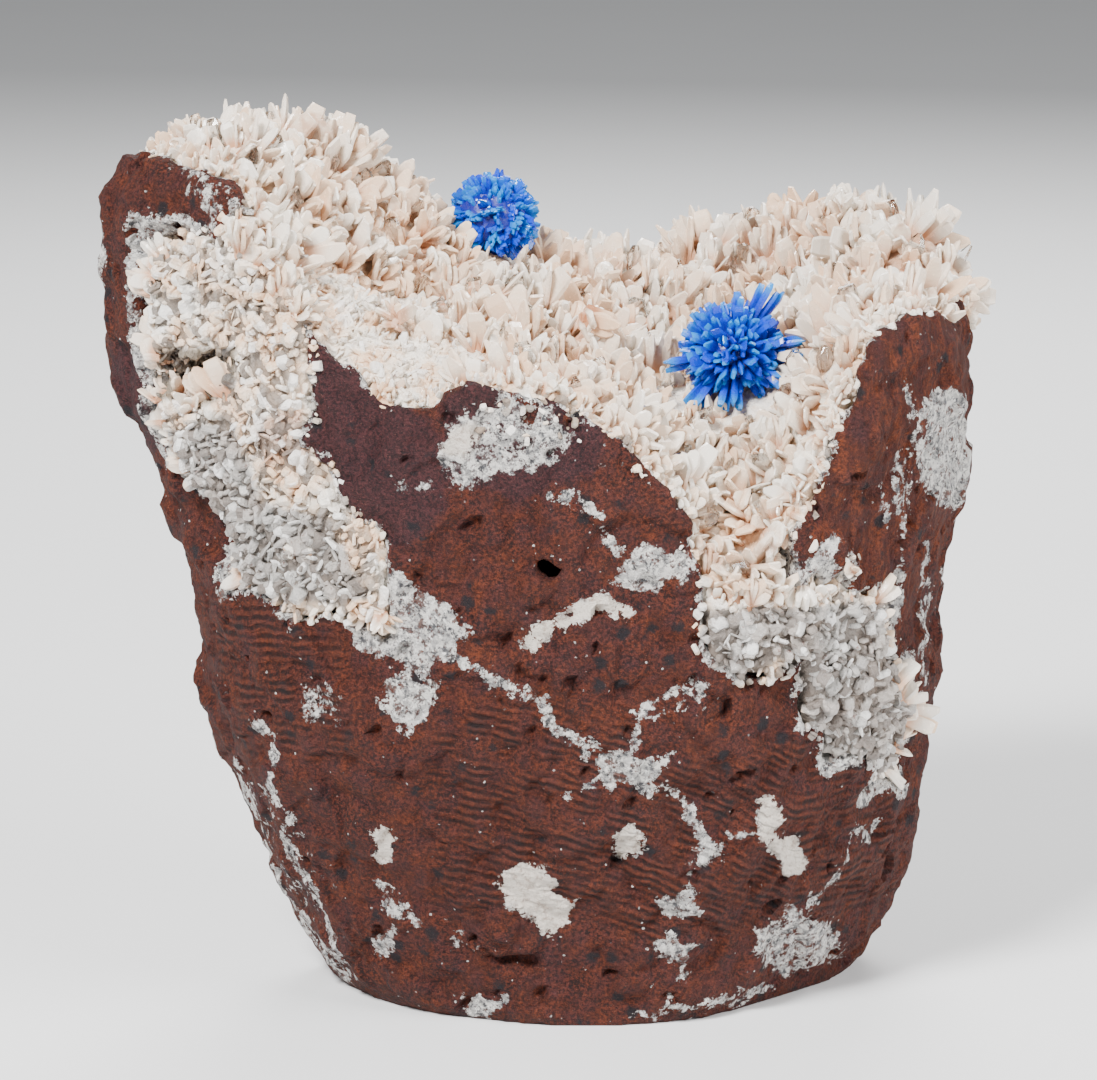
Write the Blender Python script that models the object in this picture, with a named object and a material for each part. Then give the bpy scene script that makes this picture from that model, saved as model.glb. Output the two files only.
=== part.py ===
"""Cavansite specimen: a block of red basalt with an open hollow, the white stilbite crust that
lines the hollow and spills over its rim, and two blue cavansite rosettes grown on the crust.

The block stands on its flat underside. Its front, the side with the deep notch, faces -Y.
Run it with: blender --background --python part.py
"""
import math
import random

import bmesh
import bpy
import numpy as np
from mathutils import Matrix, Vector, noise
from mathutils.bvhtree import BVHTree
from mathutils.geometry import intersect_ray_tri

# All lengths below are millimetres of the real stone. MM turns them into Blender's metres.
MM = 0.001
SEED = 4669

# The block seen from above at three heights, (x, y), anticlockwise from the left end.
PLAN_AT_FOOT = [(-16.6, 1), (-14.6, -4.2), (-11.4, -8.9), (-7.3, -12), (0.6, -14.9), (7.7, -14.9),
                (13.3, -13.3), (19, -8.1), (24.2, -2.8), (26.5, 3), (24, 11), (14, 15.5), (2, 15), (-9, 10)]
PLAN_AT_WAIST = [(-26.5, 0), (-23, -11), (-12, -18), (2, -21), (16, -19.5), (27, -12), (32.2, -1),
                 (29.5, 11), (18, 18.5), (4, 18), (-10, 14.5), (-21, 9)]
PLAN_AT_RIM = [(-34.5, -1), (-31, -6), (-22.5, -12.5), (-17, -17), (-7, -20.5), (4, -22), (14, -21.2),
               (22, -19.5), (26.5, -16.5), (32, -11), (35, -2), (34.5, 8), (30, 18), (22, 24), (12, 23),
               (2, 19.5), (-8, 15.5), (-18, 12), (-28, 7.5)]
PLAN_HEIGHTS = (0.0, 25.0, 52.0)
PLAN_CENTRE = (4.0, -1.0)
CORNER_SMOOTHING = 5  # degrees of arc over which the plan's corners are rounded

# The left and right edges of the block seen from the front, (height, x). The left one steps
# outwards where a slab of red rock overhangs.
LEFT_EDGE = [(0, -16.6), (4.2, -19), (8.4, -21.1), (12.6, -22.9), (16.8, -24.3), (24.3, -26.7),
             (31, -27.1), (37.5, -28.6), (42, -29.8), (44.5, -32.4), (52.2, -33.9), (59.4, -34.8),
             (65, -33.6), (67.5, -31.8)]
RIGHT_EDGE = [(0, 26.5), (2.5, 28.3), (5.9, 29.8), (12.6, 31.1), (21, 32), (31, 32.8), (35.9, 33.6),
              (40.8, 34.8), (50.7, 35), (54, 34.8), (58, 33.5)]

# Heights of the hollow and of its rim, (x, y, z), read along lines across the stone.
FRONT_RIM = [(-32, -4, 67.4), (-28.7, -8, 67.8), (-25.5, -10.3, 67.2), (-23, -12, 66), (-21.4, -13.5, 61.8),
             (-17.1, -17, 56.9), (-15.3, -17.6, 54.3), (-12.6, -18.5, 52.3), (-9.7, -19.5, 50.6),
             (-7.1, -20.5, 51.1), (-4.2, -21, 52.7), (0, -21.5, 52.3), (3.1, -22, 51.6), (5.1, -22, 49.9),
             (8, -22, 47.2), (11.5, -21.8, 42.8), (13, -21.5, 39.5), (14.2, -21, 35.5), (18, -20.5, 34.4),
             (21.5, -19.6, 35.2), (23, -19, 41.4), (23.8, -18.5, 47.3), (24.8, -17.8, 51.5),
             (26.6, -16.4, 54.5), (28.7, -14.5, 55.6), (31.3, -11.8, 56.3), (34.5, -5, 54.4)]
LEFT_SLOPE = [(-25, 0, 68), (-19.4, 3, 68), (-15.4, 5, 66), (-11.4, 6, 63.4), (-7.4, 7, 58.8),
              (-21.1, -6, 66), (-18.1, -6, 62.9), (-14.2, -5, 59.5), (-10.3, -6, 56.5), (-3.2, 6.5, 58.2),
              (-17.8, -14, 58), (-13.9, -14, 54.8), (-6.3, -12, 53.7), (-0.9, -15, 52.6)]
HOLLOW = [(2.2, 4, 54.4), (7, 2, 52.4), (2.2, -9, 52.2), (5.3, -13, 50), (8.5, -5, 49.8), (11.8, 0, 48.8),
          (12.3, -12, 45.8), (16, -10.5, 46.8), (15.9, -5.5, 50.4), (16, -1, 49.6), (13.6, 11, 53),
          (21.8, 13, 54.4), (27, 4, 55.4), (20.6, -8, 50.2), (21.5, -2, 53.6), (24.9, -9, 55.4),
          (28.2, -9, 56.6), (20.7, -13, 48.4), (18, -12, 44.4), (19.8, -17, 42), (17.6, -16, 39.4)]
BACK_RIM = [(-33, 2.5, 66), (-28, 7, 65), (-18, 11.5, 62.5), (-8, 15, 56), (0.6, 10, 56.2), (2, 19, 53.5),
            (5.5, 14, 55.2), (10.2, 17, 54.8), (12, 22.5, 52), (16.3, 19, 57.2), (22, 18, 59.8),
            (22, 23.5, 56.5), (27.5, 15, 59.4), (31.3, 10, 58.6), (30, 18, 56.5), (34, 5, 55.6)]

# Where white zeolite comes through the front wall, seen from the front, (x, z).
LEFT_ZEOLITE = [(-20.9, 63), (-24.8, 61), (-26.5, 63.6), (-28.4, 63.2), (-30, 61.4), (-31.2, 59.8),
                (-31.5, 57), (-31.2, 51.3), (-30.6, 46.5), (-28.7, 44.5), (-25.8, 41.8), (-23.8, 39.1),
                (-22.8, 35.1), (-17.9, 34.7), (-14.3, 33.4), (-11, 30), (-10.7, 36), (-12.5, 39.6),
                (-14.9, 43.2), (-16.6, 45.6), (-19.3, 50.5), (-18.5, 54), (-17.4, 57.2)]
RIGHT_ZEOLITE = [(13.6, 36), (13.8, 31.5), (15.5, 29.6), (17.6, 29.6), (19, 30.8), (20.6, 30),
                 (21.4, 27), (23.5, 23.8), (25.4, 21), (27.4, 17.4), (29.6, 18.4), (31.2, 22),
                 (30.6, 26), (27.6, 28), (27.8, 33.8), (22.3, 36.5)]

# Grid of the block: columns round it, and rows up its foot, its wall and its top.
COLUMNS = 52
FOOT_ROWS = 2
LOW_WALL_ROWS = 7
HIGH_WALL_ROWS = 8
WALL_ROWS = LOW_WALL_ROWS + HIGH_WALL_ROWS
LEVEL_HEIGHT = 29.0  # the wall's rows are level up to here, and follow the rim above
TOP_ROWS = 8
FRONT_DENSITY = 0.4  # how much closer the columns stand at the front than on average
RIM_ROW = FOOT_ROWS + WALL_ROWS
LIP_WIDTH = 0.05  # share of the top's radius that is bare rock at the rim
WALL_DROP = {-1: 0.5, -2: 0.2}  # how far rows under a white rim follow its back down
TOP_DRAW = 0.35  # how far the row inside a white rim follows its back in
EVENING_ROUNDS = 9
EVENING = 0.5
EVENING_AT_BORDER = 0.3
SNAP_SHARE = 0.45  # share of a row's height that a grid point may move to reach an outline

TOP_CRUST_DEPTH = 3.3
LEFT_ZEOLITE_DEPTH = 3.8
RIGHT_ZEOLITE_DEPTH = 2.6
GAP = 0.3  # between the crust and the rock it lies in
MOST_CORNER = 2.5  # how much further than the gap a mitred corner may move
BED_PROUD = 0.8  # how far the form that cuts the crust's bed stands out of the block
EASING_ROUNDS = 8
GROUNDS = ("rock", "top", "left", "right")
BACK_BEGINS = 2.0  # y behind which the wall is the back of the block
SEAT_GAP = 0.35  # between a rosette's core and the hollow it sits in

ROCK_ROUGHNESS = 0.55
ROCK_GRAIN = 9.0
CRUST_ROUGHNESS = 0.75
CRUST_GRAIN = 6.0

CRYSTAL_COUNT = 92
CRYSTAL_SPACING = 3.7
CRYSTAL_SIZE = (2.1, 0.95, 4.4)  # width, thickness, length
WALL_CRYSTAL_SIZE = (1.9, 1.2, 2.3)  # the stubby ones of the zeolite in the front wall
STEEP = 0.4  # ground whose normal rises less than this is wall
CRYSTAL_SCALE = (0.7, 1.25)  # smallest and largest crystal against the usual one
CRYSTAL_LEAN = 0.75
CRYSTAL_UPRIGHT = 0.55  # a crystal that stands off the ground less than this is raised
CRYSTAL_TAPER = 0.5
CRYSTAL_SUNK = 1.0
CRYSTAL_CLEAR_OF_EDGE = 2.3
CRYSTAL_CLEARANCE = 3.4  # from a rosette or the cavity to the foot of the nearest crystal

# Vesicle, saw undercut and cavity in the front wall: place, then half sizes.
VESICLE_PLACE = (1.5, -21.5, 38.4)
VESICLE_RADIUS = 1.0
VESICLE_DEPTH = 4.0
UNDERCUT_PLACE = (-2.3, -16.2, 5.6)
UNDERCUT_HALF = (3.4, 2.2, 0.8)
CAVITY_PLACE = (-25.4, -10.6, 51.8)
CAVITY_HALF = (3.4, 2.6, 2.2)

# Rosettes: centre, core radius, reach of the common blades, and the long prisms, each given
# by its direction and reach.
UPPER_CENTRE = (-3.1, 6.0, 61.0)
UPPER_CORE = 3.0
UPPER_REACH = 4.1
FRONT_CENTRE = (15.8, -7.0, 52.6)
FRONT_CORE = 3.1
FRONT_REACH = 4.9
FRONT_PRISMS = [((-1.0, -0.3, -0.25), 5.8), ((-0.65, -0.5, -0.7), 6.0), ((-0.1, -0.8, -0.75), 5.6),
                ((0.8, -0.5, -0.4), 5.4), ((1.0, -0.2, 0.12), 6.0), ((0.62, 0.1, 0.8), 6.3),
                ((0.0, 0.0, 1.0), 4.9), ((-0.55, -0.1, 0.6), 4.8)]
BLADE_WIDTH = 1.6
BLADE_THICKNESS = 0.95
BLADE_TAPER = 0.6
BLADE_ROOT = 0.72  # share of the core's radius at which the blades begin
BLADE_LEAN = 0.15
BLADE_LENGTHS = (0.88, 1.0)  # shortest and longest blade against the reach
BLADE_WIDTHS = (0.8, 1.2)  # narrowest and widest blade against the usual one
PRISM_WIDTH = 1.28
PRISM_THICKNESS = 1.24
BLADES_ON_A_BALL = 50
LOWEST_BLADE = -0.2  # blades pointing further down than this would run into the crust

COLOURS = {
    "basalt_matrix": ((0.16, 0.045, 0.028, 1.0), 0.85),
    "stilbite_crust": ((0.83, 0.74, 0.65, 1.0), 0.4),
    "cavansite_rosette_upper": ((0.0, 0.19, 0.80, 1.0), 0.3),
    "cavansite_rosette_front": ((0.0, 0.11, 0.78, 1.0), 0.3),
}


def start_empty():
    """Remove the objects that the opened scene holds."""
    for item in list(bpy.data.objects):
        bpy.data.objects.remove(item, do_unlink=True)


def radius_by_angle(plan):
    """Radius of a plan outline about the plan's centre, one value for each degree."""
    centre = np.array(PLAN_CENTRE)
    points = np.array(plan, dtype=float) - centre
    angles = np.degrees(np.arctan2(points[:, 1], points[:, 0])) % 360
    order = np.argsort(angles)
    points = points[order]
    angles = angles[order]
    degrees = np.arange(360)
    radii = np.empty(360)
    for degree in degrees:
        after = np.searchsorted(angles, degree) % len(points)
        start = points[after - 1]
        end = points[after]
        ray = np.array((math.cos(math.radians(degree)), math.sin(math.radians(degree))))
        edge = end - start
        radii[degree] = (start[0] * edge[1] - start[1] * edge[0]) / (ray[0] * edge[1] - ray[1] * edge[0])
    reach = range(-CORNER_SMOOTHING, CORNER_SMOOTHING + 1)
    return sum(np.roll(radii, step) for step in reach) / len(reach)


SECTIONS = [radius_by_angle(plan) for plan in (PLAN_AT_FOOT, PLAN_AT_WAIST, PLAN_AT_RIM)]
DEGREES = np.radians(np.arange(361))


def section_radii(height):
    """Radii of the block's plan at a height, blended from the three outlines."""
    below = 0 if height < PLAN_HEIGHTS[1] else 1
    share = (height - PLAN_HEIGHTS[below]) / (PLAN_HEIGHTS[below + 1] - PLAN_HEIGHTS[below])
    share = min(max(share, 0.0), 1.0)
    return SECTIONS[below] * (1 - share) + SECTIONS[below + 1] * share


def edge_at(profile, height):
    """x of the block's left or right edge at a height."""
    heights, places = zip(*profile)
    return float(np.interp(height, heights, places))


def wall_point(angle, height):
    """Point of the side wall at an angle round the block and a height."""
    radii = section_radii(height)
    rounds = np.append(radii, radii[0])
    x = float(np.interp(angle % (2 * math.pi), DEGREES, rounds)) * math.cos(angle)
    y = float(np.interp(angle % (2 * math.pi), DEGREES, rounds)) * math.sin(angle)
    spread = rounds * np.cos(DEGREES)
    if x < 0:
        x *= (edge_at(LEFT_EDGE, height) - PLAN_CENTRE[0]) / spread.min()
    else:
        x *= (edge_at(RIGHT_EDGE, height) - PLAN_CENTRE[0]) / spread.max()
    return PLAN_CENTRE[0] + x, PLAN_CENTRE[1] + y


def front_angle(x, height):
    """Angle at which the front half of the wall has this x, by halving."""
    low = math.pi
    high = 2 * math.pi
    for _ in range(30):
        middle = (low + high) / 2
        if wall_point(middle, height)[0] < x:
            low = middle
        else:
            high = middle
    return (low + high) / 2


class HollowSurface:
    """Smooth surface through the surveyed heights, as a thin plate bends through them."""

    def __init__(self, points, slack):
        survey = np.array(points, dtype=float)
        self.places = survey[:, :2]
        count = len(survey)
        system = np.zeros((count + 3, count + 3))
        system[:count, :count] = self.bending(self.places) + slack * np.eye(count)
        system[:count, count] = 1
        system[:count, count + 1:] = self.places
        system[count:, :count] = system[:count, count:].T
        heights = np.concatenate([survey[:, 2], np.zeros(3)])
        self.weights = np.linalg.solve(system, heights)

    def bending(self, at):
        """Bending of the plate at some places for a unit load at each surveyed place."""
        apart = np.linalg.norm(at[:, None, :] - self.places[None, :, :], axis=2)
        return apart ** 2 * np.log(np.maximum(apart, 1e-9))

    def height(self, x, y):
        at = np.array([[x, y]], dtype=float)
        plane = self.weights[-3] + self.weights[-2] * x + self.weights[-1] * y
        return float((self.bending(at) @ self.weights[:-3])[0] + plane)


HOLLOW_SURFACE = HollowSurface(FRONT_RIM + LEFT_SLOPE + HOLLOW + BACK_RIM, slack=0.5)


def rim_height(angle):
    """Height at which the side wall meets the top surface at an angle."""
    height = 50.0
    for _ in range(40):
        x, y = wall_point(angle, height)
        height += 0.4 * (HOLLOW_SURFACE.height(x, y) - height)
    return height


def inside(outline, x, z):
    """Whether a point seen from the front lies in an outline."""
    crossings = 0
    for (x1, z1), (x2, z2) in zip(outline, outline[1:] + outline[:1]):
        if (z1 > z) != (z2 > z) and x < x1 + (z - z1) / (z2 - z1) * (x2 - x1):
            crossings += 1
    return crossings % 2 == 1


def roughness_at(point, size, grain):
    """Irregular height of a broken surface at a point."""
    place = point / grain
    return size * (noise.noise(place) + 0.5 * noise.noise(place * 2.3 + Vector((7.0, 3.0, 1.0))))


def shape_block(mesh):
    """Turn a round grid of columns and rows into the block, and name each face's ground."""
    rows = RIM_ROW + TOP_ROWS
    bmesh.ops.create_uvsphere(mesh, u_segments=COLUMNS, v_segments=rows, radius=1.0)
    row_layer = mesh.verts.layers.int.new("row")
    column_layer = mesh.verts.layers.int.new("column")
    rims = {}
    for vert in mesh.verts:
        slope = math.acos(max(-1.0, min(1.0, -vert.co.z)))
        row = round(slope / math.pi * rows)
        vert[row_layer] = row
        turn = math.atan2(vert.co.y, vert.co.x) if 0 < row < rows else 0.0
        column = round((turn % (2 * math.pi)) / (2 * math.pi) * COLUMNS) % COLUMNS
        even = column / COLUMNS * 2 * math.pi
        angle = even - FRONT_DENSITY * math.sin(even - 1.5 * math.pi)
        vert[column_layer] = column
        if column not in rims:
            rims[column] = rim_height(angle)
        vert.co = grid_point(row, angle, rims[column])
    return row_layer


def grid_point(row, angle, rim):
    """Place of one grid point of the block."""
    if row <= FOOT_ROWS:
        x, y = wall_point(angle, 0.0)
        share = row / FOOT_ROWS
        return Vector((PLAN_CENTRE[0] + share * (x - PLAN_CENTRE[0]),
                       PLAN_CENTRE[1] + share * (y - PLAN_CENTRE[1]), 0.0))
    if row <= RIM_ROW:
        step = row - FOOT_ROWS
        height = LEVEL_HEIGHT * step / LOW_WALL_ROWS
        if step > LOW_WALL_ROWS:
            height = LEVEL_HEIGHT + (rim - LEVEL_HEIGHT) * (step - LOW_WALL_ROWS) / HIGH_WALL_ROWS
        x, y = wall_point(angle, height)
        return Vector((x, y, height))
    step = row - RIM_ROW
    share = (1 - LIP_WIDTH) * (1 - (step - 1) / (TOP_ROWS - 1))
    edge_x, edge_y = wall_point(angle, rim)
    x = PLAN_CENTRE[0] + share * (edge_x - PLAN_CENTRE[0])
    y = PLAN_CENTRE[1] + share * (edge_y - PLAN_CENTRE[1])
    return Vector((x, y, HOLLOW_SURFACE.height(x, y)))


def ground_of(face, row_layer):
    """What a face of the block is: top crust, left or right zeolite, or rock."""
    lowest = min(vert[row_layer] for vert in face.verts)
    middle = face.calc_center_median()
    if lowest >= RIM_ROW + 1:
        return "top"
    if lowest < FOOT_ROWS:
        return "rock"
    if middle.y > BACK_BEGINS and lowest >= RIM_ROW - 1:
        return "top"
    if middle.y < BACK_BEGINS and inside(LEFT_ZEOLITE, middle.x, middle.z):
        return "left"
    if middle.y < BACK_BEGINS and inside(RIGHT_ZEOLITE, middle.x, middle.z):
        return "right"
    if lowest == RIM_ROW and middle.y < BACK_BEGINS:
        below = [edge for edge in face.edges if all(vert[row_layer] == RIM_ROW for vert in edge.verts)]
        neighbours = [other for edge in below for other in edge.link_faces if other is not face]
        for other in neighbours:
            place = other.calc_center_median()
            if inside(LEFT_ZEOLITE, place.x, place.z) or inside(RIGHT_ZEOLITE, place.x, place.z):
                return "top"
    return "rock"


def crossings(outline, x):
    """Heights at which an outline crosses a vertical line."""
    found = []
    for (x1, z1), (x2, z2) in zip(outline, outline[1:] + outline[:1]):
        if (x1 > x) != (x2 > x):
            found.append(z1 + (x - x1) / (x2 - x1) * (z2 - z1))
    return found


def snap_to_outlines(mesh, row_layer):
    """Slide the wall's grid points that border the white zeolite up or down to its outline."""
    for outline in (LEFT_ZEOLITE, RIGHT_ZEOLITE):
        for vert in mesh.verts:
            if not FOOT_ROWS < vert[row_layer] < RIM_ROW or vert.co.y > BACK_BEGINS:
                continue
            sides = {inside(outline, *face.calc_center_median().xz) for face in vert.link_faces}
            heights = crossings(outline, vert.co.x)
            if len(sides) < 2 or not heights:
                continue
            nearest = min(heights, key=lambda height: abs(height - vert.co.z))
            steps = [abs(edge.other_vert(vert).co.z - vert.co.z) for edge in vert.link_edges
                     if edge.other_vert(vert)[row_layer] != vert[row_layer]]
            if abs(nearest - vert.co.z) < SNAP_SHARE * min(steps):
                y = wall_point(front_angle(vert.co.x, nearest), nearest)[1]
                vert.co = Vector((vert.co.x, y, nearest))


def roughen(mesh, row_layer, grounds):
    """Give the wall and the top their broken relief, leaving the underside flat."""
    mesh.normal_update()
    moves = []
    for vert in mesh.verts:
        if vert[row_layer] <= FOOT_ROWS:
            continue
        white = any(grounds[face] != "rock" for face in vert.link_faces)
        size, grain = (CRUST_ROUGHNESS, CRUST_GRAIN) if white else (ROCK_ROUGHNESS, ROCK_GRAIN)
        moves.append((vert, vert.normal * roughness_at(vert.co, size, grain)))
    for vert, move in moves:
        vert.co += move


def depth_of(vert, grounds):
    """How deep the white minerals reach into the rock at a grid point."""
    depths = {"top": TOP_CRUST_DEPTH, "left": LEFT_ZEOLITE_DEPTH, "right": RIGHT_ZEOLITE_DEPTH}
    found = [depths[grounds[face]] for face in vert.link_faces if grounds[face] != "rock"]
    return sum(found) / len(found)


def bare_rim_share(mesh, grounds):
    """For each column, how far its stretch of the rim is white: 0 is a lip of rock, 1 is none."""
    row_layer = mesh.verts.layers.int["row"]
    column_layer = mesh.verts.layers.int["column"]
    white = np.zeros(COLUMNS)
    for vert in mesh.verts:
        if vert[row_layer] == RIM_ROW:
            lips = [face for face in vert.link_faces
                    if max(other[row_layer] for other in face.verts) > RIM_ROW]
            white[vert[column_layer]] = sum(grounds[face] != "rock" for face in lips) / len(lips)
    return np.maximum(white, (np.roll(white, 1) + white + np.roll(white, -1)) / 3)


def inward(vert, mesh, grounds, white_rim):
    """Direction in which the back of the white ground lies from a grid point of its front.

    Along the wall that is straight in, on the top it is across the surface, and round a white
    rim the two are blended so that the rows keep their order.
    """
    row = vert[mesh.verts.layers.int["row"]] - RIM_ROW
    white = white_rim[vert[mesh.verts.layers.int["column"]]]
    outward = Vector((vert.co.x - PLAN_CENTRE[0], vert.co.y - PLAN_CENTRE[1], 0.0)).normalized()
    if row < 0:
        return -outward - Vector((0.0, 0.0, WALL_DROP.get(row, 0.0) * white))
    if row == 0 or (row == 1 and white > 0):
        return -outward * (1.0 if row == 0 else 0.95 * white) - Vector((0.0, 0.0, 1.0))
    total = Vector()
    for face in vert.link_faces:
        if grounds[face] != "rock":
            total -= face.normal
    total.normalize()
    if row == 2:
        total -= outward * TOP_DRAW * white
    return total


def join_diagonals(mesh, grounds):
    """Widen the white ground where two of its faces meet only at a corner."""
    changed = True
    while changed:
        changed = False
        for vert in mesh.verts:
            white = [face for face in vert.link_faces if grounds[face] != "rock"]
            if len(vert.link_faces) != 4 or len(white) != 2:
                continue
            if not set(white[0].edges) & set(white[1].edges):
                rock = next(face for face in vert.link_faces if grounds[face] == "rock")
                grounds[rock] = grounds[white[0]]
                changed = True


def build_block():
    """The whole block in flat triangles, with what mineral each of its faces is."""
    mesh = bmesh.new()
    ground_layer = mesh.faces.layers.int.new("ground")
    row_layer = shape_block(mesh)
    snap_to_outlines(mesh, row_layer)
    grounds = {face: ground_of(face, row_layer) for face in mesh.faces}
    join_diagonals(mesh, grounds)
    roughen(mesh, row_layer, grounds)
    for face, ground in grounds.items():
        face[ground_layer] = GROUNDS.index(ground)
    bmesh.ops.triangulate(mesh, faces=mesh.faces, quad_method="BEAUTY")
    mesh.verts.index_update()
    mesh.normal_update()
    return mesh, {face: GROUNDS[face[ground_layer]] for face in mesh.faces}


def back_of_white(mesh, grounds):
    """Where the back of the white ground lies under each of its grid points, evened out."""
    white = [face for face in mesh.faces if grounds[face] != "rock"]
    white_rim = bare_rim_share(mesh, grounds)
    verts = {vert for face in white for vert in face.verts}
    back = {vert: vert.co + inward(vert, mesh, grounds, white_rim) * depth_of(vert, grounds)
            for vert in verts}
    border = {vert for vert in verts if any(grounds[face] == "rock" for face in vert.link_faces)}
    for _ in range(EVENING_ROUNDS):
        evened = {}
        for vert in verts:
            others = [edge.other_vert(vert) for edge in vert.link_edges]
            others = [other for other in others if other in (border if vert in border else back)]
            mean = sum((back[other] for other in others), Vector()) / max(1, len(others))
            share = EVENING_AT_BORDER if vert in border else EVENING
            evened[vert] = back[vert].lerp(mean, share) if others else back[vert]
        back = evened
    return {vert.index: back[vert] - vert.co for vert in verts}


def white_solid(mesh, grounds):
    """Cut the white ground from the block's grid and give it its depth.

    Its outer faces are marked 1 in the face layer named front, its back and sides 0.
    """
    sink = back_of_white(mesh, grounds)
    sink_layer = mesh.verts.layers.float_vector.new("sink")
    for vert in mesh.verts:
        if vert.index in sink:
            vert[sink_layer] = sink[vert.index]
    rock = [face for face in mesh.faces if grounds[face] == "rock"]
    bmesh.ops.delete(mesh, geom=rock, context="FACES")
    front_layer = mesh.faces.layers.int.new("front")
    front = set(mesh.faces)
    made = bmesh.ops.extrude_face_region(mesh, geom=list(mesh.faces))["geom"]
    for item in made:
        if isinstance(item, bmesh.types.BMVert):
            item.co += item[sink_layer]
    for face in mesh.faces:
        face[front_layer] = face in front
    bmesh.ops.triangulate(mesh, faces=mesh.faces, quad_method="FIXED")
    bmesh.ops.recalc_face_normals(mesh, faces=mesh.faces)
    mesh.normal_update()
    return front_layer


def move_faces(mesh, distance_of):
    """Move every face along its normal by its own distance, by mitring its corners."""
    moves = {}
    for vert in mesh.verts:
        normals = np.array([face.normal for face in vert.link_faces])
        distances = np.array([distance_of(face) for face in vert.link_faces])
        move = Vector(np.linalg.lstsq(normals, distances, rcond=0.2)[0])
        most = MOST_CORNER * max(abs(distances))
        moves[vert] = move * min(1.0, most / max(move.length, 1e-9))
    rest = {vert: vert.co.copy() for vert in mesh.verts}
    for vert, move in moves.items():
        vert.co += move
    ease_crossings(mesh, rest)


def ease_crossings(mesh, rest):
    """Draw a moved mesh back towards where it was, wherever the move makes it cross itself."""
    for _ in range(EASING_ROUNDS):
        mesh.faces.ensure_lookup_table()
        tree = BVHTree.FromBMesh(mesh)
        pairs = [(mesh.faces[one], mesh.faces[two]) for one, two in tree.overlap(tree) if one < two]
        crossing = [pair for pair in pairs if crosses(*pair) or crosses(*reversed(pair))]
        if not crossing:
            return
        for vert in {vert for pair in crossing for face in pair for vert in face.verts}:
            vert.co = vert.co.lerp(rest[vert], 0.5)


def crosses(one, two):
    """Whether an edge of a triangle passes through another triangle that doesn't hold its ends."""
    corners = [vert.co for vert in two.verts]
    for edge in one.edges:
        if set(edge.verts) & set(two.verts):
            continue
        start = edge.verts[0].co
        along = edge.verts[1].co - start
        hit = intersect_ray_tri(*corners, along, start, True)
        if hit is not None and 0 < (hit - start).dot(along) < along.length_squared:
            return True
    return False


def make_matrix():
    """Basalt: the whole block less the bed of the crust, which stands proud of the surface."""
    block, _ = build_block()
    bmesh.ops.recalc_face_normals(block, faces=block.faces)
    matrix = new_object("basalt_matrix", block)
    bed, grounds = build_block()
    front_layer = white_solid(bed, grounds)
    move_faces(bed, lambda face: BED_PROUD if face[front_layer] else 0.0)
    combine(matrix, new_cutter("crust_bed", bed), "DIFFERENCE")
    return matrix


def make_crust(matrix):
    """White crust that lies in its bed, clear of the rock by the gap."""
    mesh, grounds = build_block()
    front_layer = white_solid(mesh, grounds)
    move_faces(mesh, lambda face: 0.0 if face[front_layer] else -GAP)
    crust = new_object("stilbite_crust", mesh)
    combine(crust, matrix, "DIFFERENCE")
    return crust


def new_object(name, mesh):
    """Finish a mesh in metres as a named object in the specimen's collection."""
    bmesh.ops.transform(mesh, matrix=Matrix.Scale(MM, 4), verts=mesh.verts)
    data = bpy.data.meshes.new(name)
    mesh.to_mesh(data)
    mesh.free()
    item = bpy.data.objects.new(name, data)
    bpy.data.collections["cavansite_specimen"].objects.link(item)
    return item


def new_cutter(name, mesh):
    """A helper solid that is joined to or cut from a piece, and isn't a piece itself."""
    item = new_object(name, mesh)
    bpy.data.collections["cavansite_specimen"].objects.unlink(item)
    bpy.data.collections["cutters"].objects.link(item)
    item.hide_render = True
    item.display_type = "WIRE"
    return item


def combine(item, cutter, operation, crosses_itself=False):
    """Join a helper solid to a piece, or cut it away, exactly."""
    boolean = item.modifiers.new(cutter.name, "BOOLEAN")
    boolean.operation = operation
    boolean.object = cutter
    boolean.solver = "EXACT"
    boolean.use_self = crosses_itself


def add_blade(mesh, place, size, taper):
    """One flat crystal: a slab that thins to a sharp edge at its free end and narrows to it."""
    width, thickness, length = size
    made = bmesh.ops.create_cube(mesh, size=1.0)["verts"]
    for vert in made:
        at_tip = vert.co.z > 0
        vert.co = Vector((vert.co.x * width * (taper if at_tip else 1.0),
                          vert.co.y * thickness * (0.0 if at_tip else 1.0), (vert.co.z + 0.5) * length))
    bmesh.ops.remove_doubles(mesh, verts=made, dist=0.01)
    kept = [vert for vert in made if vert.is_valid]
    bmesh.ops.transform(mesh, matrix=place, verts=kept)


def standing(point, direction, spin):
    """Placement that stands a crystal at a point, along a direction, turned about itself."""
    turn = direction.to_track_quat("Z", "Y").to_matrix().to_4x4()
    return Matrix.Translation(point) @ turn @ Matrix.Rotation(spin, 4, "Z")


def crystal_seats(item, chance):
    """Places on the crust's outer face for crystals, spread apart and away from its border."""
    faces = outer_faces(item)
    weights = [area for _, _, area in faces]
    seats = []
    tries = chance.choices(faces, weights, k=CRYSTAL_COUNT * 60)
    for corners, normal, _ in tries:
        a = chance.random()
        b = chance.random()
        if a + b > 1:
            a = 1 - a
            b = 1 - b
        point = corners[0] + a * (corners[1] - corners[0]) + b * (corners[2] - corners[0])
        if any((point - other).length < CRYSTAL_SPACING for other, _ in seats):
            continue
        if kept_bare(point):
            continue
        seats.append((point, normal))
        if len(seats) == CRYSTAL_COUNT:
            break
    return seats


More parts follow.
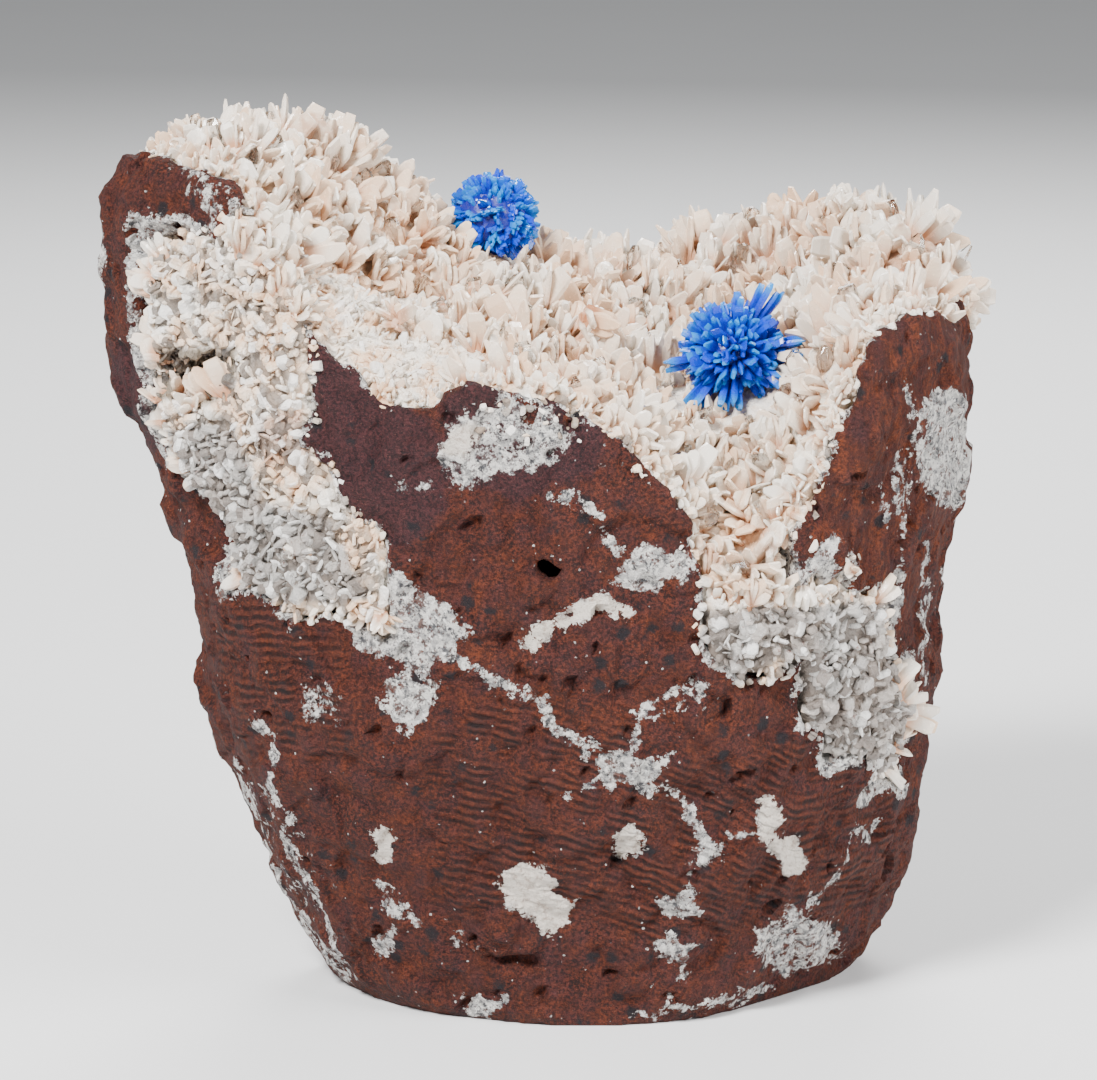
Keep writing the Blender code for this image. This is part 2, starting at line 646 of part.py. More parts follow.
def outer_faces(item):
    """Triangles of the crust's outer face that lie well inside its border, in millimetres."""
    mesh = bmesh.new()
    mesh.from_mesh(item.data)
    front_layer = mesh.faces.layers.int["front"]
    outer = [face for face in mesh.faces if face[front_layer]]
    border = [edge for edge in mesh.edges if sum(face[front_layer] for face in edge.link_faces) == 1]
    middles = [(edge.verts[0].co + edge.verts[1].co) / 2 for edge in border]
    clear = CRYSTAL_CLEAR_OF_EDGE * MM
    found = []
    for face in outer:
        corners = [vert.co for vert in face.verts]
        for fan in range(1, len(corners) - 1):
            three = [corners[0], corners[fan], corners[fan + 1]]
            middle = sum(three, Vector()) / 3
            if min((middle - other).length for other in middles) < clear:
                continue
            area = (three[1] - three[0]).cross(three[2] - three[0]).length
            found.append(([corner / MM for corner in three], face.normal.copy(), area))
    mesh.free()
    found.sort(key=lambda three: [round(length, 3) for length in sum(three[0], Vector())])
    return found


def kept_bare(point):
    """Whether a crystal here would touch a rosette or stand in the cavity."""
    bare = ((UPPER_CENTRE, UPPER_REACH), (FRONT_CENTRE, FRONT_REACH), (CAVITY_PLACE, CAVITY_HALF[0]))
    for centre, reach in bare:
        if (point - Vector(centre)).length < reach + CRYSTAL_CLEARANCE:
            return True
    return False


def add_crystals(crust, matrix):
    """Stand flat stilbite crystals all over the crust and fuse them to it, but none that meets the rock."""
    chance = random.Random(SEED)
    graph = bpy.context.evaluated_depsgraph_get()
    rock = bmesh.new()
    rock.from_object(matrix, graph)
    bmesh.ops.transform(rock, matrix=Matrix.Scale(1 / MM, 4), verts=rock.verts)
    rock_tree = BVHTree.FromBMesh(rock)
    mesh = bmesh.new()
    for point, normal in crystal_seats(crust, chance):
        lean = Vector([chance.uniform(-CRYSTAL_LEAN, CRYSTAL_LEAN) for _ in range(3)])
        direction = (normal + lean).normalized()
        if direction.dot(normal) < CRYSTAL_UPRIGHT:
            direction = (direction + normal).normalized()
        scale = chance.uniform(*CRYSTAL_SCALE)
        size = [length * scale for length in (WALL_CRYSTAL_SIZE if normal.z < STEEP else CRYSTAL_SIZE)]
        place = standing(point - direction * CRYSTAL_SUNK, direction, chance.uniform(0, math.pi))
        crystal = bmesh.new()
        add_blade(crystal, place, size, CRYSTAL_TAPER)
        if not BVHTree.FromBMesh(crystal).overlap(rock_tree):
            add_blade(mesh, place, size, CRYSTAL_TAPER)
        crystal.free()
    rock.free()
    combine(crust, new_cutter("stilbite_crystals", mesh), "UNION", crosses_itself=True)


def even_directions(count):
    """Directions spread evenly over a ball, along a spiral."""
    golden = math.pi * (3 - math.sqrt(5))
    found = []
    for index in range(count):
        z = 1 - 2 * (index + 0.5) / count
        ring = math.sqrt(1 - z * z)
        found.append(Vector((ring * math.cos(golden * index), ring * math.sin(golden * index), z)))
    return found


def make_rosette(name, centre, core, reach, prisms):
    """A ball of blue blades that radiate from one point, with a few long prisms."""
    chance = random.Random(name)
    middle = Vector(centre)
    ball = bmesh.new()
    bmesh.ops.create_icosphere(ball, subdivisions=2, radius=core)
    bmesh.ops.translate(ball, verts=ball.verts, vec=middle)
    rosette = new_object(name, ball)
    blades = bmesh.new()
    rooted = core * BLADE_ROOT
    for direction in even_directions(BLADES_ON_A_BALL):
        if direction.z < LOWEST_BLADE:
            continue
        bent = (direction + Vector([chance.uniform(-BLADE_LEAN, BLADE_LEAN) for _ in range(3)])).normalized()
        length = reach * chance.uniform(*BLADE_LENGTHS) - rooted
        size = (BLADE_WIDTH * chance.uniform(*BLADE_WIDTHS), BLADE_THICKNESS, length)
        place = standing(middle + bent * rooted, bent, chance.uniform(0, math.pi))
        add_blade(blades, place, size, BLADE_TAPER)
    for direction, prism_reach in prisms:
        along = Vector(direction).normalized()
        size = (PRISM_WIDTH, PRISM_THICKNESS, prism_reach - rooted)
        place = standing(middle + along * rooted, along, chance.uniform(0, math.pi))
        add_blade(blades, place, size, BLADE_TAPER)
    combine(rosette, new_cutter(name + "_blades", blades), "UNION", crosses_itself=True)
    return rosette


def ellipsoid(name, place, half):
    """A pit's form."""
    mesh = bmesh.new()
    bmesh.ops.create_icosphere(mesh, subdivisions=2, radius=1.0)
    bmesh.ops.scale(mesh, vec=Vector(half), verts=mesh.verts)
    bmesh.ops.translate(mesh, vec=Vector(place), verts=mesh.verts)
    return new_cutter(name, mesh)


def cut_pits(matrix, crust):
    """The round gas hole, the saw's undercut by the foot, and the open cavity at the left."""
    mesh = bmesh.new()
    bmesh.ops.create_cone(mesh, cap_ends=True, segments=9, radius1=VESICLE_RADIUS,
                          radius2=VESICLE_RADIUS, depth=2 * VESICLE_DEPTH)
    bmesh.ops.rotate(mesh, verts=mesh.verts, matrix=Matrix.Rotation(math.radians(90), 3, "X"))
    bmesh.ops.translate(mesh, verts=mesh.verts, vec=Vector(VESICLE_PLACE))
    combine(matrix, new_cutter("vesicle", mesh), "DIFFERENCE")
    combine(matrix, ellipsoid("undercut", UNDERCUT_PLACE, UNDERCUT_HALF), "DIFFERENCE")
    combine(crust, ellipsoid("cavity", CAVITY_PLACE, CAVITY_HALF), "DIFFERENCE")
    seats = (("upper_seat", UPPER_CENTRE, UPPER_CORE), ("front_seat", FRONT_CENTRE, FRONT_CORE))
    for name, centre, core in seats:
        combine(crust, ellipsoid(name, centre, (core + SEAT_GAP,) * 3), "DIFFERENCE")


def add_material(item):
    """Plain finish of a piece: its colour and how rough it is."""
    colour, roughness = COLOURS[item.name]
    material = bpy.data.materials.new(item.name)
    material.use_nodes = True
    shader = material.node_tree.nodes["Principled BSDF"]
    shader.inputs["Base Color"].default_value = colour
    shader.inputs["Roughness"].default_value = roughness
    shader.inputs["Metallic"].default_value = 0.0
    item.data.materials.append(material)


def centre_on_foot(pieces):
    """Put the middle of the specimen's box over the origin by moving the holder of all pieces."""
    bpy.context.view_layer.update()
    graph = bpy.context.evaluated_depsgraph_get()
    points = []
    for item in pieces:
        shape = item.evaluated_get(graph)
        points.extend(item.matrix_world @ vert.co for vert in shape.data.vertices)
    low = [min(point[axis] for point in points) for axis in range(3)]
    high = [max(point[axis] for point in points) for axis in range(3)]
    holder = bpy.data.objects.new("specimen", None)
    bpy.data.collections["cavansite_specimen"].objects.link(holder)
    holder.location = (-(low[0] + high[0]) / 2, -(low[1] + high[1]) / 2, -low[2])
    for item in pieces + list(bpy.data.collections["cutters"].objects):
        item.parent = holder


def main():
    start_empty()
    for name in ("cavansite_specimen", "cutters"):
        bpy.context.scene.collection.children.link(bpy.data.collections.new(name))
    matrix = make_matrix()
    crust = make_crust(matrix)
    add_crystals(crust, matrix)
    cut_pits(matrix, crust)
    upper = make_rosette("cavansite_rosette_upper", UPPER_CENTRE, UPPER_CORE, UPPER_REACH, prisms=())
    front = make_rosette("cavansite_rosette_front", FRONT_CENTRE, FRONT_CORE, FRONT_REACH, FRONT_PRISMS)
    pieces = [matrix, crust, upper, front]
    for item in pieces:
        add_material(item)
    centre_on_foot(pieces)


main()
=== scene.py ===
"""Cavansite specimen: the looks of the rock, its zeolite crust and its two blue rosettes.

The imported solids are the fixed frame. The block of basalt and the white mass are dense copies of
their solids with broken relief, the crystals are a few modelled forms copied all over the crust,
and the rosettes are balls of several hundred laths. Lengths in this file are millimetres, and MM
turns them into Blender's metres.
"""

import math

import bmesh
import bpy
import numpy as np
from mathutils import Matrix, Vector, noise
from mathutils.bvhtree import BVHTree


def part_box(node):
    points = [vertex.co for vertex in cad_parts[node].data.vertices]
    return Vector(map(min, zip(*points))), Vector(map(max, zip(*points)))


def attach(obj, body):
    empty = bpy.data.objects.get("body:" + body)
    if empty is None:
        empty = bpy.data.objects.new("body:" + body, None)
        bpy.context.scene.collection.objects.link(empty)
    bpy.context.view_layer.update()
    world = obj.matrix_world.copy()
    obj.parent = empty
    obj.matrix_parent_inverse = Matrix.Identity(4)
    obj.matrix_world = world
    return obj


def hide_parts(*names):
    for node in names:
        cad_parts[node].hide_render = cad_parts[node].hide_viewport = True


bl_info = {
    "name": "Cavansite specimen",
    "version": (1, 0, 0),
    "blender": (4, 5, 0),
    "location": "View3D > Sidebar > Specimen",
    "description": "Models a basalt block with a stilbite crust and two cavansite rosettes",
    "category": "Add Mesh",
}

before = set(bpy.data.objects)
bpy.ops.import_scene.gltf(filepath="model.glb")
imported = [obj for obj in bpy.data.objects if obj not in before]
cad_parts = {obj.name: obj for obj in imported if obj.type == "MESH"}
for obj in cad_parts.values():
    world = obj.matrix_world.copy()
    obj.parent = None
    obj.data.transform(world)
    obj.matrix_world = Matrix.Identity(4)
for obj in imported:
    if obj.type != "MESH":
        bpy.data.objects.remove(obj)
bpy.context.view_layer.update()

MM = 0.001
SEED = 4669

# The photograph's frame, and where it was taken from. AIM is measured from the same point as
# MATRIX_CORNER, the lowest corner of the basalt.
PICTURE_WIDTH = 1097
PICTURE_HEIGHT = 1080
CAMERA_DISTANCE = 450.0
CAMERA_ELEVATION = math.radians(13.0)
FOCAL_PIXELS = 5625.0
MM_PER_PIXEL = 0.08
SENSOR = 36.0
AIM = np.array((1.3, 0.0, 35.9))
MATRIX_CORNER = np.array((-34.459, -21.75, 0.0))
SHIFT = np.array(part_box("basalt_matrix")[0]) / MM - MATRIX_CORNER
TO_CAMERA = np.array((0.0, -math.cos(CAMERA_ELEVATION), math.sin(CAMERA_ELEVATION)))
IMAGE_UP = np.array((0.0, math.sin(CAMERA_ELEVATION), math.cos(CAMERA_ELEVATION)))
CAMERA_PLACE = AIM + SHIFT + TO_CAMERA * CAMERA_DISTANCE

# The two blue balls, as the solids have them.
UPPER_CENTRE = np.array((-3.1, 6.0, 61.0)) + SHIFT
UPPER_CORE = 3.0
UPPER_REACH = 4.1
FRONT_CENTRE = np.array((15.8, -7.0, 52.6)) + SHIFT
FRONT_CORE = 3.1
FRONT_REACH = 4.4
FRONT_PRISMS = [((-1.0, -0.3, -0.25), 5.8), ((-0.65, -0.5, -0.7), 6.0), ((-0.1, -0.8, -0.75), 5.6),
                ((0.8, -0.5, -0.4), 5.4), ((1.0, -0.2, 0.12), 6.0), ((0.62, 0.1, 0.8), 6.3),
                ((0.0, 0.0, 1.0), 4.9), ((-0.55, -0.1, 0.6), 4.8)]

# Where the laths of a ball begin, from its centre, and the turn between neighbours of a spiral.
BALL_ROOT = 0.8
GOLDEN_TURN = 2.399963

# Saw marks: the distance between two, and how their lines bow down on both sides of a summit.
SAW_STEP = 0.72
SAW_BOW = 0.009
SAW_SUMMIT = -14

# The standing crystals of the crust's solid are thinner than this. They are drawn into its surface
# in so many steps, because the blades stand in their places.
WEDGE = 1.35
RELAX_STEPS = 260

# Least distances between crystals, and how far the crumbs of a border lie from the crust.
GRAIN_SPACING = 0.5
BORDER_SPACING = 0.42
RIM_SPACING = 0.95
CLEAR_SPACING = 3.6
BORDER_WIDTH = 0.9

# White minerals in the face of the basalt, as (x, y) pixels of the photograph: a vein is a path
# and its width, a patch is an outline.
VEINS = [
    ([(445, 659), (470, 668), (495, 683), (538, 699), (555, 726), (594, 749)], 12),
    ([(565, 794), (605, 784)], 6),
    ([(634, 746), (638, 716), (661, 699), (697, 683)], 8),
    ([(664, 786), (686, 808), (696, 827), (712, 850)], 7),
    ([(695, 850), (692, 869), (692, 894)], 6),
    ([(676, 960), (676, 980), (665, 1009)], 6),
    ([(727, 837), (759, 834)], 3),
    ([(379, 882), (395, 911), (415, 925)], 11),
    ([(791, 709), (798, 690)], 6),
    ([(654, 722), (676, 713)], 5),
    ([(253, 716), (276, 749), (270, 782), (286, 822), (303, 865), (323, 908), (329, 935), (352, 981)],
     9),
    ([(236, 766), (250, 809), (266, 858), (289, 898), (313, 941), (352, 981)], 8),
    ([(549, 496), (580, 500), (599, 526), (618, 557)], 8),
    ([(877, 821), (855, 837), (836, 869), (810, 904)], 4),
    ([(769, 987), (753, 996), (676, 1012), (632, 1016)], 6),
    ([(897, 455), (896, 507)], 8),
    ([(96, 211), (101, 294)], 6),
    ([(905, 380), (915, 440), (905, 520), (900, 560)], 3),
    ([(930, 545), (925, 620), (922, 690)], 3),
    ([(880, 480), (884, 530)], 3),
]
CRYSTAL_PATCHES = [
    [(346, 616), (360, 585), (392, 568), (420, 590), (450, 615), (472, 630), (452, 656), (419, 676),
     (385, 662), (360, 650)],
    [(382, 690), (400, 672), (434, 684), (430, 715), (405, 731), (384, 714)],
    [(598, 752), (620, 744), (640, 757), (674, 758), (655, 778), (652, 800), (630, 786), (608, 800),
     (606, 775)],
    [(657, 896), (690, 893), (711, 908), (690, 917), (662, 914)],
    [(654, 944), (672, 930), (699, 948), (690, 964), (662, 962)],
    [(460, 1000), (480, 992), (504, 1000), (490, 1014), (466, 1014)],
    [(372, 938), (388, 932), (394, 950), (384, 960), (372, 954)],
    [(920, 400), (938, 385), (974, 400), (974, 470), (955, 507), (930, 500), (918, 460)],
    [(696, 836), (716, 840), (726, 856), (706, 862), (696, 850)],
]
CREAM_PATCHES = [
    [(497, 872), (520, 865), (548, 868), (560, 880), (555, 895), (580, 902), (572, 925), (552, 936),
     (528, 922), (503, 905)],
    [(368, 832), (382, 824), (396, 836), (396, 856), (382, 862), (370, 850)],
    [(615, 830), (632, 823), (644, 835), (640, 850), (624, 855), (614, 845)],
    [(756, 798), (772, 796), (780, 812), (776, 832), (798, 834), (808, 855), (800, 876), (782, 874),
     (772, 850), (758, 826)],
    [(520, 640), (526, 628), (560, 622), (590, 598), (604, 592), (634, 612), (630, 624), (600, 612),
     (575, 628), (545, 642), (532, 658)],
    [(445, 430), (470, 420), (488, 436), (470, 455), (448, 452)],
]
# Outlines in which white and rock are mixed, and how much of each is white.
MOTTLED = [
    ([(289, 690), (310, 666), (352, 690), (345, 729), (300, 725)], 0.45),
    ([(607, 560), (640, 542), (702, 550), (700, 585), (640, 595), (610, 585)], 0.75),
    ([(751, 930), (790, 898), (852, 925), (845, 960), (790, 984), (756, 966)], 0.6),
    ([(438, 470), (440, 420), (480, 400), (560, 405), (584, 440), (560, 470), (500, 480), (460, 504)],
     0.62),
    ([(155, 160), (200, 155), (240, 185), (245, 235), (205, 240), (190, 200)], 0.5),
    ([(440, 925), (475, 920), (475, 955), (445, 960)], 0.5),
    ([(498, 930), (525, 930), (525, 952), (500, 952)], 0.5),
    ([(680, 665), (715, 670), (710, 700), (685, 695)], 0.55),
    ([(560, 955), (590, 955), (588, 975), (562, 975)], 0.5),
    ([(372, 470), (440, 470), (440, 500), (400, 505)], 0.45),
    ([(240, 800), (300, 800), (340, 900), (350, 985), (310, 950)], 0.35),
    ([(640, 690), (720, 660), (720, 730), (660, 740)], 0.3),
    ([(560, 770), (660, 770), (640, 800), (570, 805)], 0.35),
    ([(720, 880), (760, 870), (760, 930), (720, 930)], 0.2),
    ([(880, 330), (930, 312), (975, 330), (970, 390)], 0.25),
]
PURPLE_ROCK = [
    [(112, 350), (172, 352), (180, 425), (150, 450), (122, 420)],
    [(300, 385), (318, 345), (345, 365), (366, 383), (404, 409), (440, 440), (450, 500), (400, 545),
     (375, 540), (345, 500), (318, 460)],
    [(440, 400), (476, 383), (530, 388), (572, 398), (602, 425), (590, 470), (520, 500), (450, 480)],
]
ORANGE_ROCK = [[(832, 400), (880, 330), (990, 300), (990, 420), (900, 620), (805, 620), (820, 520)]]
SAWN_ROCK = [[(200, 600), (350, 600), (350, 760), (230, 760)],
             [(430, 700), (640, 700), (640, 920), (430, 920)],
             [(560, 800), (900, 700), (900, 900), (620, 960)]]
LEFT_MASS = [(120, 240), (160, 205), (200, 250), (290, 262), (310, 321), (285, 393), (296, 412),
             (337, 498), (375, 546), (380, 606), (230, 606), (200, 500), (125, 420)]
RIGHT_MASS = [(700, 612), (900, 600), (935, 700), (890, 830), (820, 770), (780, 655), (740, 690),
              (700, 660)]
MASSIVE_FACET = [(285, 275), (330, 255), (400, 290), (470, 340), (520, 380), (470, 385), (404, 409),
                 (331, 355)]
# Outline of the hollow in the crust, which is dented and darkened with painted shade.
HOLLOW_SHADE = [[(168, 345), (239, 345), (236, 393), (200, 410), (168, 400), (135, 418), (130, 360)]]
PINK_STAINS = [[(255, 420), (300, 410), (310, 455), (265, 465)],
                 [(690, 240), (935, 200), (935, 310), (760, 330)]]
GREY_MASS = [RIGHT_MASS, [(165, 430), (230, 420), (260, 500), (330, 520), (370, 600), (230, 606)]]

# Crystals and fans that stand out: pixel, lean (right, near, up), width, length, how many, spread.
NAMED_CRYSTALS = [
    ((630, 378), (0.1, 0.9, 0.55), 2.3, 2.4, 2, 0.15),
    ((560, 276), (0.1, 0.7, 0.8), 2.0, 2.4, 2, 0.3),
    ((776, 440), (0.1, 0.75, 0.7), 1.7, 3.8, 9, 2.0),
    ((690, 500), (-0.1, 0.8, 0.6), 1.6, 3.2, 9, 1.7),
    ((745, 470), (0.0, 0.9, -0.2), 1.8, 3.0, 4, 1.2),
    ((770, 540), (0.2, 0.9, 0.1), 1.9, 3.2, 5, 1.4),
    ((735, 575), (-0.2, 0.9, 0.0), 1.6, 2.8, 5, 1.6),
    ((800, 590), (0.1, 0.8, -0.4), 1.7, 2.8, 4, 1.2),
    ((290, 150), (0.0, 0.3, 1.0), 1.6, 2.4, 4, 1.1),
    ((192, 150), (0.45, 0.2, 0.9), 1.5, 2.6, 3, 0.5),
    ((240, 175), (0.5, 0.6, 0.6), 1.9, 2.3, 2, 0.4),
    ((880, 245), (0.4, 0.3, 0.9), 1.8, 3.2, 5, 1.5),
    ((830, 320), (0.2, 0.6, 0.8), 1.7, 3.0, 7, 1.8),
    ((430, 330), (0.3, 0.6, 0.8), 1.5, 2.8, 6, 1.6),
    ((520, 330), (-0.2, 0.7, 0.7), 1.5, 3.0, 6, 1.8),
]


class RockSettings(bpy.types.PropertyGroup):
    grid: bpy.props.FloatProperty(name="Grid", description="Spacing of the rock's surface points",
                                  default=0.46 * MM, unit="LENGTH")
    broken: bpy.props.FloatProperty(name="Broken relief",
                                    description="Height of the broad broken relief",
                                    default=0.55 * MM, unit="LENGTH")
    rough: bpy.props.FloatProperty(name="Rough relief", description="Height of the close relief",
                                   default=0.2 * MM, unit="LENGTH")
    dark: bpy.props.FloatVectorProperty(name="Dark rock", description="Darkest red of the basalt",
                                        default=(0.010, 0.0032, 0.0028), subtype="COLOR")
    light: bpy.props.FloatVectorProperty(name="Light rock", description="Lightest red of the basalt",
                                         default=(0.125, 0.027, 0.013), subtype="COLOR")
    vein: bpy.props.FloatVectorProperty(name="Vein", description="White of the veins",
                                        default=(0.76, 0.73, 0.69), subtype="COLOR")


class CrustSettings(bpy.types.PropertyGroup):
    grid: bpy.props.FloatProperty(name="Grid", description="Spacing of the white mass's surface points",
                                  default=0.45 * MM, unit="LENGTH")
    relief: bpy.props.FloatProperty(name="Relief", description="Height of the white mass's relief",
                                    default=0.3 * MM, unit="LENGTH")
    spacing: bpy.props.FloatProperty(name="Sheaf spacing", description="Least distance between sheaves",
                                     default=1.8 * MM, unit="LENGTH")
    length: bpy.props.FloatProperty(name="Blade length",
                                    description="Length of a common stilbite blade",
                                    default=3.0 * MM, unit="LENGTH")
    width: bpy.props.FloatProperty(name="Blade width", description="Width of a common stilbite blade",
                                   default=1.25 * MM, unit="LENGTH")
    white: bpy.props.FloatVectorProperty(name="White", description="Colour of the whitest crystals",
                                         default=(0.92, 0.85, 0.75), subtype="COLOR")
    peach: bpy.props.FloatVectorProperty(name="Peach", description="Colour of the peach crystals",
                                         default=(0.86, 0.60, 0.40), subtype="COLOR")


class RosetteSettings(bpy.types.PropertyGroup):
    blades: bpy.props.IntProperty(name="Blades", description="Blades on the front ball", default=460)
    bundles: bpy.props.IntProperty(name="Bundles", description="Lobes on the upper ball", default=130)
    deep: bpy.props.FloatVectorProperty(name="Deep blue", description="Colour inside a ball",
                                        default=(0.0, 0.007, 0.22), subtype="COLOR")
    bright: bpy.props.FloatVectorProperty(name="Bright blue", description="Colour of the blades",
                                          default=(0.0, 0.040, 0.56), subtype="COLOR")
    tips: bpy.props.FloatVectorProperty(name="Tips", description="Colour of the thin ends",
                                        default=(0.0, 0.22, 0.62), subtype="COLOR")


class StageSettings(bpy.types.PropertyGroup):
    floor: bpy.props.FloatVectorProperty(name="Floor", description="Colour of the floor",
                                         default=(0.80, 0.80, 0.80), subtype="COLOR")
    key: bpy.props.FloatProperty(name="Key light", description="Strength of the main light in watts",
                                 default=4.6)


def photo_pixels(points):
    """Where points of the stone, in millimetres, stand in the photograph."""
    from_camera = points - CAMERA_PLACE
    away = -from_camera @ TO_CAMERA
    x = PICTURE_WIDTH / 2 + FOCAL_PIXELS * from_camera[:, 0] / away
    y = PICTURE_HEIGHT / 2 - FOCAL_PIXELS * (from_camera @ IMAGE_UP) / away
    return x, y


def path_distance(x, y, path):
    """Pixels from each place to the nearest point of a path."""
    nearest = np.full(len(x), 1e9)
    for (x1, y1), (x2, y2) in zip(path[:-1], path[1:]):
        along = np.array((x2 - x1, y2 - y1), dtype=float)
        share = np.clip(((x - x1) * along[0] + (y - y1) * along[1]) / (along @ along), 0, 1)
        nearest = np.minimum(nearest, np.hypot(x - x1 - share * along[0], y - y1 - share * along[1]))
    return nearest


def outline_depth(x, y, outline):
    """How far each place lies inside an outline, in millimetres, negative outside it."""
    inside = np.zeros(len(x), dtype=bool)
    for (x1, y1), (x2, y2) in zip(outline, outline[1:] + outline[:1]):
        if y1 != y2:
            spans = (y1 > y) != (y2 > y)
            inside ^= spans & (x < x1 + (y - y1) / (y2 - y1) * (x2 - x1))
    distance = path_distance(x, y, outline + outline[:1])
    return np.where(inside, distance, -distance) * MM_PER_PIXEL


def deepest(x, y, outlines):
    """The depth inside whichever outline holds a place best."""
    return np.max([outline_depth(x, y, outline) for outline in outlines], axis=0)


def noise_at(points, grain, offset=0.0):
    """Smooth noise from -1 to 1 at each point, with features of the grain's size."""
    shift = Vector((offset, 1.7 * offset, -offset))
    return np.array([noise.noise(Vector(point) / grain + shift) for point in points])


def smooth_step(value, low, high):
    share = np.clip((value - low) / (high - low), 0, 1)
    return share * share * (3 - 2 * share)


def deselect():
    if bpy.context.object and bpy.context.object.mode != "OBJECT":
        bpy.ops.object.mode_set(mode="OBJECT")
    bpy.ops.object.select_all(action="DESELECT")


def make_active(item):
    deselect()
    item.select_set(True)
    bpy.context.view_layer.objects.active = item


def apply_modifier(item, kind, **values):
    """Add a modifier with these values and apply it at once."""
    make_active(item)
    modifier = item.modifiers.new(kind.lower(), kind)
    for name, value in values.items():
        setattr(modifier, name, value)
    bpy.ops.object.modifier_apply(modifier=modifier.name)


def solid_copy(node, name):
    """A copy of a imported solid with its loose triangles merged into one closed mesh."""
    item = bpy.data.objects.new(name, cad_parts[node].data.copy())
    bpy.context.scene.collection.objects.link(item)
    item.data.name = name
    item.data.materials.clear()
    mesh = bmesh.new()
    mesh.from_mesh(item.data)
    bmesh.ops.remove_doubles(mesh, verts=mesh.verts, dist=0.001 * MM)
    mesh.to_mesh(item.data)
    mesh.free()
    return item


def read(elements, name, width=3, kind=float):
    """One vector of each element of a mesh, as the rows of an array."""
    flat = np.empty(len(elements) * width, dtype=kind)
    elements.foreach_get(name, flat)
    return flat.reshape(-1, width)


def places(item):
    """Vertex coordinates in millimetres."""
    return read(item.data.vertices, "co") / MM


def set_places(item, points):
    item.data.vertices.foreach_set("co", (points * MM).ravel())
    item.data.update()


def normals(item):
    return read(item.data.vertex_normals, "vector")


def add_values(item, name, values):
    """Store one number for each vertex, for the material to read."""
    layer = item.data.attributes.new(name, "FLOAT", "POINT")
    layer.data.foreach_set("value", np.asarray(values, dtype=np.float32))


def tree_of(item):
    """Search tree of a mesh, in millimetres."""
    points = places(item)
    return BVHTree.FromPolygons([tuple(point) for point in points],
                                [tuple(face.vertices) for face in item.data.polygons])


def finish_piece(item, material, *nodes, slot=None):
    """Give a piece its material and place it on the specimen's body."""
    item.data.materials.clear()
    item.data.materials.append(material)
    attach(item, "root")
    if nodes:
        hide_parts(*nodes)


class Nodes:
    """Short ways to add and join the nodes of one material or group."""

    def __init__(self, tree):
        self.tree = tree

    def add(self, kind, inputs=(), **values):
        """Add a node, set its values, and fill its inputs with links or constants."""
        made = self.tree.nodes.new(kind)
        for name, value in values.items():
            setattr(made, name, value)
        for key, value in dict(inputs).items():
            if isinstance(value, bpy.types.NodeSocket):
                self.tree.links.new(value, made.inputs[key])
            else:
                made.inputs[key].default_value = value
        return made

    def math(self, operation, one, two=0.5):
        return self.add("ShaderNodeMath", {0: one, 1: two}, operation=operation).outputs[0]

    def plus(self, one, two):
        return self.math("ADD", one, two)

    def times(self, one, two):
        return self.math("MULTIPLY", one, two)

    def span(self, value, low, high, low_to=0.0, high_to=1.0):
        """A value taken from one range smoothly into another."""
        inputs = {"Value": value, "From Min": low, "From Max": high, "To Min": low_to,
                  "To Max": high_to}
        return self.add("ShaderNodeMapRange", inputs, interpolation_type="SMOOTHSTEP").outputs["Result"]

    def mix(self, share, one, two):
        """Two colours mixed."""
        made = self.add("ShaderNodeMix", data_type="RGBA")
        for key, value in ((0, share), (6, one), (7, two)):
            if isinstance(value, bpy.types.NodeSocket):
                self.tree.links.new(value, made.inputs[key])
            else:
                made.inputs[key].default_value = value if key == 0 else (*value[:3], 1.0)
        return made.outputs[2]

    def attribute(self, name):
        return self.add("ShaderNodeAttribute", attribute_name=name).outputs["Fac"]

    def place(self):
        return self.add("ShaderNodeTexCoord").outputs["Object"]

    def noise(self, size, detail=4.0, rough=0.6):
        """Noise with features of a size in millimetres."""
        inputs = {"Vector": self.place(), "Scale": 1 / (size * MM), "Detail": detail,
                  "Roughness": rough}
        return self.add("ShaderNodeTexNoise", inputs).outputs["Fac"]

    def cells(self, scale):
        """Cells of which a metre holds this many."""
        return self.add("ShaderNodeTexVoronoi", {"Vector": self.place(), "Scale": scale}).outputs

    def bump(self, height, distance):
        inputs = {"Height": height, "Distance": distance * MM, "Strength": 1.0}
        return self.add("ShaderNodeBump", inputs).outputs["Normal"]

    def feed(self, shader, **values):
        """Link values to a shader's sockets, named with _ for a space."""
        for name, value in values.items():
            self.tree.links.new(value, shader.inputs[name.replace("_", " ")])


def new_material(name, **values):
    """A material and its shader, with the constants set on the shader itself."""
    material = bpy.data.materials.new(name)
    material.use_nodes = True
    shader = material.node_tree.nodes["Principled BSDF"]
    for key, value in values.items():
        shader.inputs[key.replace("_", " ")].default_value = value
    return material, Nodes(material.node_tree), shader


